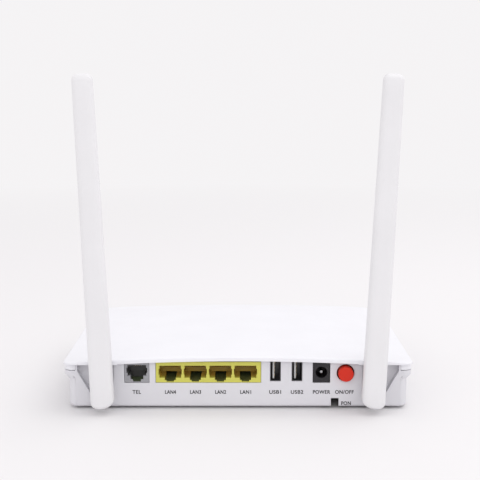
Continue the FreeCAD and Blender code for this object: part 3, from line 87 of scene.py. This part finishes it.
def mat(name):
    """An empty node material with its output and one principled shader."""
    material = bpy.data.materials.new(name)
    material.use_nodes = True
    nodes = material.node_tree.nodes
    nodes.clear()
    output = nodes.new("ShaderNodeOutputMaterial")
    shader = nodes.new("ShaderNodeBsdfPrincipled")
    material.node_tree.links.new(shader.outputs["BSDF"], output.inputs["Surface"])
    return material, nodes, material.node_tree.links, shader


def noise(nodes, links, scale, detail, rough=0.55, stretch=(1, 1, 1)):
    """Noise in the object's own metres."""
    where = nodes.new("ShaderNodeTexCoord")
    mapping = nodes.new("ShaderNodeMapping")
    mapping.inputs["Scale"].default_value = stretch
    texture = nodes.new("ShaderNodeTexNoise")
    texture.inputs["Scale"].default_value = scale
    texture.inputs["Detail"].default_value = detail
    texture.inputs["Roughness"].default_value = rough
    links.new(where.outputs["Object"], mapping.inputs["Vector"])
    links.new(mapping.outputs["Vector"], texture.inputs["Vector"])
    return texture.outputs["Fac"]


def spread(nodes, links, value, low, high, start=0.3, end=0.7):
    """Map a value between start and end onto the range from low to high."""
    ramp = nodes.new("ShaderNodeMapRange")
    ramp.inputs["From Min"].default_value = start
    ramp.inputs["From Max"].default_value = end
    ramp.inputs["To Min"].default_value = low
    ramp.inputs["To Max"].default_value = high
    links.new(value, ramp.inputs["Value"])
    return ramp.outputs["Result"]


def tint(nodes, links, value, dark, light, start=0.3, end=0.7):
    """Map a value between start and end onto the colours from dark to light."""
    ramp = nodes.new("ShaderNodeValToRGB")
    ramp.color_ramp.elements[0].position = start
    ramp.color_ramp.elements[0].color = (*dark, 1)
    ramp.color_ramp.elements[1].position = end
    ramp.color_ramp.elements[1].color = (*light, 1)
    links.new(value, ramp.inputs["Fac"])
    return ramp.outputs["Color"]


def bump(nodes, links, shader, height, distance):
    """Give the shader relief; distance is its depth in metres."""
    node = nodes.new("ShaderNodeBump")
    node.inputs["Distance"].default_value = distance
    node.inputs["Strength"].default_value = 1.0
    links.new(height, node.inputs["Height"])
    links.new(node.outputs["Normal"], shader.inputs["Normal"])


def shade(colour, factor):
    """A darker or lighter version of a colour."""
    return tuple(min(1.0, channel * factor) for channel in colour)


def painted_socket_shade(nodes, links, face, painted_shade):
    """Painted shade: the face's colour, turning to a darker one towards the back of a socket, where deep
    shade falls.
    """
    where = nodes.new("ShaderNodeTexCoord")
    split = nodes.new("ShaderNodeSeparateXYZ")
    links.new(where.outputs["Object"], split.inputs["Vector"])
    start = SOCKET_FACE + SHADE_FROM * MM
    end = SOCKET_FACE + SHADE_TO * MM
    depth = spread(nodes, links, split.outputs["Y"], 0.0, 1.0, start, end)
    blend = nodes.new("ShaderNodeMix")
    blend.data_type = "RGBA"
    links.new(depth, blend.inputs["Factor"])
    links.new(face, blend.inputs["A"])
    blend.inputs["B"].default_value = (*painted_shade, 1)
    return blend.outputs["Result"]


def plastic(name, colour, rough, grain=0.012, grain_scale=2600.0, cloud=0.014, specular=0.5, painted_shade=None):
    """Moulded plastic: a fine spark-eroded grain, faint flow clouds and uneven gloss, with painted shade
    towards the back of a socket when a shade colour is given.
    """
    material, nodes, links, shader = mat(name)
    clouds = noise(nodes, links, CLOUD_SCALE, detail=4.0)
    face = tint(nodes, links, clouds, shade(colour, 1 - cloud), shade(colour, 1 + cloud))
    # Painted shade: the colour darkens towards the back of a socket.
    if painted_shade:
        face = painted_socket_shade(nodes, links, face, painted_shade)
    links.new(face, shader.inputs["Base Color"])
    gloss = noise(nodes, links, GLOSS_SCALE, detail=5.0)
    links.new(spread(nodes, links, gloss, rough - 0.05, rough + 0.06), shader.inputs["Roughness"])
    fine = noise(nodes, links, grain_scale, detail=2.0, rough=0.6)
    bump(nodes, links, shader, fine, grain * MM)
    shader.inputs["Specular IOR Level"].default_value = specular
    return material


def metal(name, colour, rough, brushed=(1, 1, 1), scale=900.0, depth=0.004, cloud=0.08):
    """Plated or brushed metal, with streaks along whichever axis is stretched."""
    material, nodes, links, shader = mat(name)
    streaks = noise(nodes, links, scale, detail=4.0, rough=0.6, stretch=brushed)
    face = tint(nodes, links, streaks, shade(colour, 1 - cloud), shade(colour, 1 + cloud))
    links.new(face, shader.inputs["Base Color"])
    links.new(spread(nodes, links, streaks, rough - 0.06, rough + 0.08), shader.inputs["Roughness"])
    bump(nodes, links, shader, streaks, depth * MM)
    shader.inputs["Metallic"].default_value = 1.0
    return material


def circuit_board(name):
    """Dull green solder mask with faint tracks under it."""
    material, nodes, links, shader = mat(name)
    where = nodes.new("ShaderNodeTexCoord")
    tracks = nodes.new("ShaderNodeTexBrick")
    tracks.inputs["Scale"].default_value = TRACK_SCALE
    tracks.inputs["Mortar Size"].default_value = 0.03
    tracks.inputs["Color1"].default_value = (0.14, 0.17, 0.075, 1)
    tracks.inputs["Color2"].default_value = (0.16, 0.20, 0.09, 1)
    tracks.inputs["Mortar"].default_value = (0.20, 0.28, 0.13, 1)
    links.new(where.outputs["Object"], tracks.inputs["Vector"])
    links.new(tracks.outputs["Color"], shader.inputs["Base Color"])
    weave = noise(nodes, links, WEAVE_SCALE, detail=2.0)
    links.new(spread(nodes, links, weave, 0.28, 0.42), shader.inputs["Roughness"])
    bump(nodes, links, shader, tracks.outputs["Fac"], 0.02 * MM)
    return material


# Grain and depth, which are the heights of a material's relief, are in millimetres.
MATERIALS = {
    "cover_white": plastic("cover plastic", (0.815, 0.815, 0.85), rough=0.46, grain=0.010),
    "shell_white": plastic("shell plastic", (0.69, 0.685, 0.718), rough=0.50, grain=0.014),
    "antenna_white": plastic("antenna plastic", (0.765, 0.76, 0.775), rough=0.44, grain=0.010),
    "foot_rubber": plastic("foot rubber", (0.035, 0.035, 0.036), rough=0.78, grain=0.03,
                           grain_scale=1500.0, cloud=0.15),
    "plated_steel": metal("zinc plated steel", (0.62, 0.62, 0.60), rough=0.32),
    "label_film": plastic("label film", (0.84, 0.84, 0.83), rough=0.36, grain=0.004),
    "board_laminate": circuit_board("solder mask"),
    "sink_aluminium": metal("extruded aluminium", (0.60, 0.61, 0.63), rough=0.38, brushed=(1, 0.04, 1)),
    "chip_black": plastic("chip epoxy", (0.022, 0.022, 0.024), rough=0.6, grain=0.02,
                          grain_scale=3200.0, cloud=0.2),
    "pad_grey": plastic("silicone pad", (0.22, 0.24, 0.30), rough=0.7, grain=0.02),
    "shield_tin": metal("tinned sheet", (0.66, 0.66, 0.64), rough=0.34, brushed=(1, 1, 0.1)),
    "transformer_black": plastic("transformer case", (0.024, 0.024, 0.026), rough=0.5),
    "capacitor_can": metal("capacitor can", (0.62, 0.63, 0.66), rough=0.3, brushed=(1, 1, 0.05)),
    "inductor_grey": plastic("ferrite", (0.05, 0.05, 0.052), rough=0.66, grain=0.04,
                             grain_scale=1800.0, cloud=0.2),
    # The last colours given to the yellow and grey socket plastics are painted shade deep inside their
    # mouths.
    "lan_yellow": plastic("yellow socket plastic", (0.605, 0.585, 0.10), rough=0.36, grain=0.008,
                          cloud=0.04, painted_shade=(0.54, 0.38, 0.06)),
    "contact_gold": metal("gold plating", (0.78, 0.54, 0.20), rough=0.3, scale=1600.0, depth=0.002),
    "tel_grey": plastic("grey socket plastic", (0.33, 0.33, 0.35), rough=0.42, grain=0.01,
                        cloud=0.06, painted_shade=(0.10, 0.098, 0.098)),
    "usb_steel": metal("nickel plated steel", (0.13, 0.13, 0.135), rough=0.38, brushed=(1, 0.06, 1)),
    "tongue_white": plastic("tongue plastic", (0.55, 0.55, 0.545), rough=0.48, grain=0.008),
    "socket_black": plastic("black socket plastic", (0.012, 0.010, 0.013), rough=0.46, cloud=0.15),
    "pin_chrome": metal("nickel plated pin", (0.36, 0.36, 0.37), rough=0.16, scale=2200.0, depth=0.001),
    "optic_black": plastic("switch plastic", (0.03, 0.03, 0.032), rough=0.5),
    "receptacle_green": plastic("green receptacle plastic", (0.02, 0.22, 0.09), rough=0.4),
    "dust_cap_grey": plastic("dust cap rubber", (0.12, 0.125, 0.135), rough=0.62, grain=0.02),
    "button_red": plastic("red button plastic", (0.62, 0.026, 0.010), rough=0.36, grain=0.003,
                          cloud=0.05, specular=0.25),
    "key_grey": plastic("key plastic", (0.68, 0.68, 0.70), rough=0.4),
    "guide_clear": plastic("frosted lens", (0.70, 0.73, 0.75), rough=0.3, grain=0.006),
    "lamp_white": plastic("lamp body", (0.75, 0.72, 0.50), rough=0.35),
    "nylon_white": plastic("nylon", (0.74, 0.74, 0.71), rough=0.45),
    "cable_black": plastic("cable jacket", (0.03, 0.03, 0.03), rough=0.45, grain=0.006),
    "ink": plastic("printed ink", (0.014, 0.014, 0.016), rough=0.6, grain=0.006, cloud=0.12,
                   specular=0.2),
}
SLOT_OF = {entry["node"]: entry["material_slot"] for entry in frame["record"]["subparts"]}

for node_name, node in frame["nodes"].items():
    if node.material_slots:
        for slot in node.material_slots:
            slot.material = MATERIALS[SLOT_OF[node_name]]
    else:
        node.data.materials.append(MATERIALS[SLOT_OF[node_name]])


# Pieces

def middle_x(node_name):
    """How far right a node's middle is, in millimetres."""
    low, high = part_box(node_name)
    return (low.x + high.x) / 2 / MM


def link(name, mesh, slot, body):
    """Show a mesh as a piece that rides on a body and takes its finish from a slot."""
    piece = bpy.data.objects.new(name, mesh)
    bpy.context.scene.collection.objects.link(piece)
    mesh.materials.clear()
    mesh.materials.append(MATERIALS[slot])
    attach(piece, body)
    return piece


def applied(mesh, set_up):
    """The mesh with modifiers applied; set_up adds them to a temporary object."""
    holder = bpy.data.objects.new("holder", mesh)
    bpy.context.scene.collection.objects.link(holder)
    set_up(holder.modifiers)
    graph = bpy.context.evaluated_depsgraph_get()
    result = bpy.data.meshes.new_from_object(holder.evaluated_get(graph))
    bpy.data.objects.remove(holder)
    return result


def smooth_by_angle(mesh, degrees):
    """Shade a mesh smooth, except across edges that turn by more than an angle."""
    mesh.polygons.foreach_set("use_smooth", [True] * len(mesh.polygons))
    mesh.set_sharp_from_angle(angle=math.radians(degrees))


def joined(name, parts):
    """One mesh from parts that are each a list of points and a list of faces."""
    points, faces = [], []
    for part_points, part_faces in parts:
        first = len(points)
        points += part_points
        faces += [tuple(first + index for index in face) for face in part_faces]
    mesh = bpy.data.meshes.new(name)
    mesh.from_pydata(points, [], faces)
    mesh.validate()
    return mesh


def ring_skin(rings):
    """Points and faces of a closed skin over a stack of rings of equal count."""
    count = len(rings[0])
    points = [point for ring in rings for point in ring]
    faces = [tuple(range(count))[::-1]]
    for level in range(len(rings) - 1):
        for index in range(count):
            after = (index + 1) % count
            faces.append((level * count + index, level * count + after,
                          (level + 1) * count + after, (level + 1) * count + index))
    faces.append(tuple(range((len(rings) - 1) * count, len(rings) * count)))
    return points, faces


# Softened copies of CAD nodes

# How wide each node's rounded edges are, in millimetres.
SOFT_EDGES = {
    "top_cover": 0.25,
    "bottom_shell": 0.12,
    "lan_socket_block": 0.12,
    "tel_socket": 0.12,
    "usb_shell_1": 0.1,
    "usb_shell_2": 0.1,
    "power_socket": 0.2,
    "power_button": 0.25,
    "wifi_button": 0.3,
    "pairing_button": 0.3,
    "rubber_feet": 0.3,
    "case_screws": 0.15,
    "light_guide": 0.12,
    "optical_dust_cap": 0.3,
    "optical_receptacle": 0.15,
    "left_antenna_hub": 0.2,
    "right_antenna_hub": 0.2,
}
# An edge is sharp where its faces turn by at least this angle, in degrees.
SHARP_ANGLE = 34.0
# Points closer than WELD become one, and points within BASE_LAYER of the lowest lie in the base.
WELD = 0.002 * MM
BASE_LAYER = 0.01 * MM


def softened(node_name, width):
    """A copy of a CAD node with its sharp edges rounded over, which stands for it.

    Edges in the flat base of the shell stay sharp, because a bevel folds the thin faces there.
    """
    node = frame["nodes"][node_name]
    rough = bmesh.new()
    rough.from_mesh(node.data)
    bmesh.ops.remove_doubles(rough, verts=rough.verts, dist=WELD)
    base = min(vertex.co.z for vertex in rough.verts) + BASE_LAYER
    weight = rough.edges.layers.float.new("bevel_weight_edge")
    for edge in rough.edges:
        if edge.calc_face_angle(0) < math.radians(SHARP_ANGLE):
            continue
        if node_name == "bottom_shell" and all(vertex.co.z < base for vertex in edge.verts):
            edge.smooth = False
        else:
            edge[weight] = 1.0
    mesh = bpy.data.meshes.new(f"{node_name}_soft")
    rough.to_mesh(mesh)
    rough.free()
    mesh.polygons.foreach_set("use_smooth", [True] * len(mesh.polygons))

    def round_over(modifiers):
        bevel = modifiers.new("bevel", "BEVEL")
        bevel.width = width * MM
        bevel.segments = 2
        bevel.limit_method = "WEIGHT"
        bevel.use_clamp_overlap = False
        bevel.face_strength_mode = "FSTR_ALL"
        flatten = modifiers.new("flatten", "WEIGHTED_NORMAL")
        flatten.use_face_influence = True
        flatten.keep_sharp = True

    mesh = applied(mesh, round_over)
    piece = link(f"{node_name}_moulded", mesh, SLOT_OF[node_name], node["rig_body"])
    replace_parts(piece, node_name)


# Antenna blades

# Sizes in millimetres, splay in degrees. The blade reaches above and below its hinge. Its rings
# follow the slanted foot up to level_from over the foot, and are level from there on. Squareness
# is the power of their rounded oblong outline.
BLADE = {"above": 171.4, "below": 9.8, "half_width": 6.5, "tip_half_width": 5.5,
         "half_depth": 4.6, "tip_half_depth": 3.9, "dome": 3.6, "rim": 1.8, "foot_radius": 11.4,
         "foot_middle": 1.17, "level_from": 5.0, "splay": 2.4, "squareness": 3.3}
BLADE_POINTS = 72
# The rings inside the foot's rim, as parts of its width.
FOOT_RINGS = (0.12, 0.45, 0.75)
RIM_STEPS = 4
SHAFT_STEPS = 24
DOME_STEPS = 8
# The mould seam's depth, and the most of a ring's half width that it may take.
SEAM_DEPTH = 0.1
SEAM_SHARE = 1 / 8


def blade_ring(half_x, half_y, height_at):
    """An oblong ring with soft corners and a fine mould seam down each narrow side."""
    ring = []
    for index in range(BLADE_POINTS):
        turn = 2 * math.pi * index / BLADE_POINTS
        power = 2 / BLADE["squareness"]
        across, along = math.cos(turn), math.sin(turn)
        x = half_x * math.copysign(abs(across) ** power, across)
        y = half_y * math.copysign(abs(along) ** power, along)
        if index % (BLADE_POINTS // 2) == 0:
            x -= math.copysign(min(SEAM_DEPTH, half_x * SEAM_SHARE), x)
        ring.append(Vector((x, y, height_at(x))))
    return ring


def make_blade(side_name, side):
    """An antenna's blade, from its slanted rounded foot to its domed tip."""
    def underside(x):
        radius, off = BLADE["foot_radius"], x - BLADE["foot_middle"] * side
        return -BLADE["below"] + radius - math.sqrt(radius ** 2 - off ** 2)

    half_x, half_y, rim = BLADE["half_width"], BLADE["half_depth"], BLADE["rim"]
    tip_x, tip_y = BLADE["tip_half_width"], BLADE["tip_half_depth"]
    rings = []
    for part in FOOT_RINGS:
        rings.append(blade_ring((half_x - rim) * part, (half_y - rim) * part, underside))
    for step in range(RIM_STEPS + 1):
        turn = math.radians(90 * step / RIM_STEPS)
        inset, lift = rim * (1 - math.sin(turn)), rim * (1 - math.cos(turn))
        rings.append(blade_ring(half_x - inset, half_y - inset,
                                lambda x, lift=lift: underside(x) + lift))
    start = BLADE["level_from"] - BLADE["below"]
    end = BLADE["above"] - BLADE["dome"]
    for step in range(1, SHAFT_STEPS + 1):
        part = step / SHAFT_STEPS
        height = start + (end - start) * part
        rings.append(blade_ring(half_x + (tip_x - half_x) * part, half_y + (tip_y - half_y) * part,
                                lambda x, height=height: height))
    for step in range(1, DOME_STEPS):
        turn = math.radians(90 * step / DOME_STEPS)
        inset = BLADE["dome"] * (1 - math.cos(turn))
        height = end + BLADE["dome"] * math.sin(turn)
        rings.append(blade_ring(tip_x - inset, tip_y - inset, lambda x, height=height: height))
    joint = next(item for item in frame["joints"] if item["name"] == f"{side_name}_antenna_hinge")
    lean = Matrix.Rotation(math.radians(BLADE["splay"]) * side, 4, "Y")
    stand = Matrix.Translation(joint["pos_m"]) @ lean
    rings = [[stand @ (point * MM) for point in ring] for ring in rings]
    mesh = joined(f"{side_name}_blade", [ring_skin(rings)])
    smooth_by_angle(mesh, degrees=50)
    piece = link(f"{side_name}_antenna_blade", mesh, "antenna_white", f"{side_name}_antenna")
    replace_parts(piece, f"{side_name}_antenna_sleeve")


# Contacts, in millimetres

LAN_PITCH = 13.97
LAN_PORTS = 4
# How far right of the block's middle the four ports' middle is.
LAN_RIGHT = -0.3
CONTACT_PITCH = 1.02
CONTACT_THICKNESS = 0.24
# A spring wire rises a little along its lead, and bends down behind it.
LEAD_LENGTH, LEAD_RISE = 0.6, 0.05
BEND_FROM, BEND_RADIUS = 1.0, 1.2
BEND_DEGREES, BEND_STEPS = 18, 4
STRIP_CORNERS = ((-1, -1), (1, -1), (1, 1), (-1, 1))
# Each tongue's left face is set in from its CAD bar's, and its tip and edges are chamfered.
TONGUE_INSET = 0.45
TONGUE_CHAMFER = 0.3
TONGUE_EDGE = 0.12


def strip(x, path, width):
    """A flat spring wire at x, bent along a path of (y, z) points."""
    rings = []
    for index, point in enumerate(path):
        before, after = path[max(index - 1, 0)], path[min(index + 1, len(path) - 1)]
        along = Vector((0, after[0] - before[0], after[1] - before[1])).normalized()
        across = Vector((0, -along.z, along.y)) * (CONTACT_THICKNESS / 2)
        middle = Vector((x, point[0], point[1]))
        side = Vector((width / 2, 0, 0))
        rings.append([(middle + a * side + b * across) * MM for a, b in STRIP_CORNERS])
    return ring_skin(rings)


def spring_path(front, back, ceiling, low):
    """From the mouth along the ceiling, round a bend and down to the back.

    Front and back are counted from the sockets' face, and ceiling and low from the ground.
    """
    face = SOCKET_FACE / MM
    mouth = face + front
    path = [(mouth, ceiling), (mouth + LEAD_LENGTH, ceiling + LEAD_RISE)]
    for step in range(BEND_STEPS + 1):
        turn = math.radians(BEND_DEGREES * step / BEND_STEPS)
        path.append((mouth + BEND_FROM + BEND_RADIUS * math.sin(turn),
                     ceiling - BEND_RADIUS * (1 - math.cos(turn))))
    path.append((face + back, low))
    return path


def make_contacts(name, node_name, middles, count, path, width):
    """A row of spring wires in each socket, where the node's own contacts are."""
    parts = []
    for middle in middles:
        for index in range(count):
            parts.append(strip(middle + CONTACT_PITCH * (index - (count - 1) / 2), path, width))
    mesh = joined(name, parts)
    smooth_by_angle(mesh, degrees=40)
    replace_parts(link(name, mesh, "contact_gold", HOUSING), node_name)


def make_tongue(number):
    """A serial bus tongue: a bar with a chamfered tip and softened edges."""
    node_name = f"usb_tongue_{number}"
    low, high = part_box(node_name)
    left, right, front, back = low.x + TONGUE_INSET * MM, high.x, low.y, high.y
    chamfer = TONGUE_CHAMFER * MM
    shoulder = front + chamfer * 2
    profile = [(left, back), (left, shoulder), (left + chamfer, front),
               (right - chamfer, front), (right, shoulder), (right, back)]
    rings = [[Vector((x, y, z)) for x, y in profile] for z in (low.z, high.z)]

    def soften(modifiers):
        bevel = modifiers.new("bevel", "BEVEL")
        bevel.width = TONGUE_EDGE * MM
        bevel.segments = 2

    mesh = applied(joined(f"{node_name}_bar", [ring_skin(rings)]), soften)
    smooth_by_angle(mesh, degrees=34)
    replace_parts(link(f"{node_name}_moulded", mesh, "tongue_white", HOUSING), node_name)


# Printed words, in millimetres

# Each word is struck several times, a little to the side and up or down, so that its lines are
# bold. Each strike stands a step further out than the one before.
STRIKES = ((-0.06, -0.045), (0.06, -0.045), (-0.06, 0.045), (0.06, 0.045))
STRIKE_STEP = 0.004
# A strike of ink is this thick, and the back of the first one lies this far inside the wall.
INK_DEPTH = 0.06
INK_SUNK = 0.02
CAP_HEIGHT = 2.05
# How high above the ground the middles of the capitals are.
WORD_HEIGHT = 9.8
FIBRE_WORD_HEIGHT = 3.3


def make_word(word, middle, height, width):
    """A generic port word as a thin layer of ink on the port wall."""
    curve = bpy.data.curves.new(word, "FONT")
    curve.body = word
    curve.space_character = 1.08
    # Any thickness will do here, because the word's size is set below.
    curve.extrude = 0.0005
    holder = bpy.data.objects.new("holder", curve)
    bpy.context.scene.collection.objects.link(holder)
    bpy.context.view_layer.update()
    graph = bpy.context.evaluated_depsgraph_get()
    letters = bpy.data.meshes.new_from_object(holder.evaluated_get(graph))
    bpy.data.objects.remove(holder)
    points = [vertex.co for vertex in letters.vertices]
    low = Vector([min(point[axis] for point in points) for axis in range(3)])
    high = Vector([max(point[axis] for point in points) for axis in range(3)])
    size = high - low
    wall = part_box("bottom_shell")[0].y / MM
    faces = [tuple(face.vertices) for face in letters.polygons]
    strikes = []
    for layer, (right, up) in enumerate(STRIKES):
        struck = []
        for point in points:
            x = (point.x - (low.x + high.x) / 2) / size.x * width + right
            z = ((point.y - low.y) / size.y - 0.5) * CAP_HEIGHT + up
            y = (point.z - low.z) / size.z * INK_DEPTH + layer * STRIKE_STEP
            struck.append(Vector((middle + x, wall + INK_SUNK - y, height + z)) * MM)
        strikes.append((struck, faces))
    bpy.data.meshes.remove(letters)
    mesh = joined(f"word_{word}", strikes)
    turned = bmesh.new()
    turned.from_mesh(mesh)
    bmesh.ops.recalc_face_normals(turned, faces=turned.faces)
    turned.to_mesh(mesh)
    turned.free()
    safe = word.replace("/", "_").lower()
    piece = link(f"word_{safe}", mesh, "socket_black", HOUSING)
    piece.data.materials[0] = MATERIALS["ink"]


for node_name, width in SOFT_EDGES.items():
    softened(node_name, width)
for side_name, side in (("left", -1), ("right", 1)):
    make_blade(side_name, side)

lan_middle = middle_x("lan_socket_block") + LAN_RIGHT
lan_ports = [lan_middle + LAN_PITCH * (port - (LAN_PORTS - 1) / 2) for port in range(LAN_PORTS)]
make_contacts("lan_springs", "lan_contacts", lan_ports, count=8, width=0.7,
              path=spring_path(front=1.6, back=12.9, ceiling=24.5, low=20.6))
make_contacts("tel_springs", "tel_contacts", [middle_x("tel_socket")], count=4, width=0.4,
              path=spring_path(front=3.2, back=10.2, ceiling=24.3, low=22.0))
for number in (1, 2):
    make_tongue(number)

# Each word of the row, from left to right: its middle, close to its socket's, and its width.
words = [
    ("TEL", middle_x("tel_socket") - 0.15, 4.6),
    *((f"LAN{LAN_PORTS - port}", middle + 0.1, 6.0) for port, middle in enumerate(lan_ports)),
    ("USB1", middle_x("usb_shell_1") - 0.1, 6.5),
    ("USB2", middle_x("usb_shell_2") + 0.1, 6.8),
    ("POWER", middle_x("power_socket") + 0.15, 9.5),
    ("ON/OFF", middle_x("power_button") - 0.5, 10.3),
]
for word, middle, width in words:
    make_word(word, middle, WORD_HEIGHT, width)
# The fibre's word stands to the right of its notch.
make_word("PON", middle_x("optical_module") + 6.3, FIBRE_WORD_HEIGHT, width=5.3)


# Floor, light and camera, in metres

STUDIO = (0.915, 0.900, 0.910)
FLOOR_COLOUR = (0.80, 0.79, 0.797)
FLOOR_REACH = 9.0
# The floor turns to the studio's own white between these distances from the origin.
FADE_FROM, FADE_TO = 0.35, 1.3
# Each light's name, width and height, power in watts, place, and the point that it shines at.
LIGHTS = (
    ("key", (1.6, 1.4), 7.0, (0.7, 0.1, 1.4), (0, 0, 0)),
    ("fill_right", (1.6, 1.0), 2.2, (1.5, -1.35, 1.0), (0, 0, 0.02)),
    ("fill_left", (1.6, 1.0), 3.0, (-1.5, -1.35, 1.0), (0, 0, 0.02)),
    ("front", (0.8, 0.5), 3.3, (0.1, -1.85, 0.9), (0, 0, 0.02)),
)
CAMERA_PLACE = (0.0011, -0.601, 0.176)
CAMERA_DEGREES_DOWN = 8.5


def make_floor():
    """A pale floor that fades into the studio's white."""
    mesh = bpy.data.meshes.new("floor")
    reach = FLOOR_REACH
    mesh.from_pydata([(-reach, -reach, 0), (reach, -reach, 0), (reach, reach, 0), (-reach, reach, 0)],
                     [], [(0, 1, 2, 3)])
    floor = bpy.data.objects.new("floor", mesh)
    bpy.context.scene.collection.objects.link(floor)
    material, nodes, links, shader = mat("pale floor")
    shader.inputs["Base Color"].default_value = (*FLOOR_COLOUR, 1)
    shader.inputs["Roughness"].default_value = 0.9
    shader.inputs["Specular IOR Level"].default_value = 0.1
    where = nodes.new("ShaderNodeTexCoord")
    distance = nodes.new("ShaderNodeVectorMath")
    distance.operation = "LENGTH"
    links.new(where.outputs["Object"], distance.inputs[0])
    glow = nodes.new("ShaderNodeEmission")
    glow.inputs["Color"].default_value = (*STUDIO, 1)
    blend = nodes.new("ShaderNodeMixShader")
    fade = spread(nodes, links, distance.outputs["Value"], 0.0, 1.0, FADE_FROM, FADE_TO)
    links.new(fade, blend.inputs["Fac"])
    links.new(shader.outputs["BSDF"], blend.inputs[1])
    links.new(glow.outputs["Emission"], blend.inputs[2])
    links.new(blend.outputs["Shader"], nodes["Material Output"].inputs["Surface"])
    mesh.materials.append(material)


def make_light(name, size, energy, place, target):
    """A soft rectangular light."""
    data = bpy.data.lights.new(name, "AREA")
    data.shape = "RECTANGLE"
    data.size, data.size_y = size
    data.energy = energy
    light = bpy.data.objects.new(name, data)
    bpy.context.scene.collection.objects.link(light)
    light.location = place
    light.rotation_euler = (Vector(target) - Vector(place)).to_track_quat("-Z", "Y").to_euler()


def make_world():
    """An even studio white all round."""
    world = bpy.data.worlds.new("studio")
    world.use_nodes = True
    background = world.node_tree.nodes["Background"]
    background.inputs["Color"].default_value = (*STUDIO, 1)
    background.inputs["Strength"].default_value = 1.0
    bpy.context.scene.world = world


def make_camera():
    """A camera that looks at the ports from a little above."""
    data = bpy.data.cameras.new("camera")
    data.lens = 75.0
    data.sensor_width = 36.0
    data.clip_start = 0.01
    camera = bpy.data.objects.new("camera", data)
    bpy.context.scene.collection.objects.link(camera)
    camera.location = CAMERA_PLACE
    camera.rotation_euler = (math.radians(90 - CAMERA_DEGREES_DOWN), 0, 0)
    bpy.context.scene.camera = camera


make_floor()
make_world()
for light in LIGHTS:
    make_light(*light)
make_camera()
bpy.context.scene.view_settings.view_transform = "Standard"
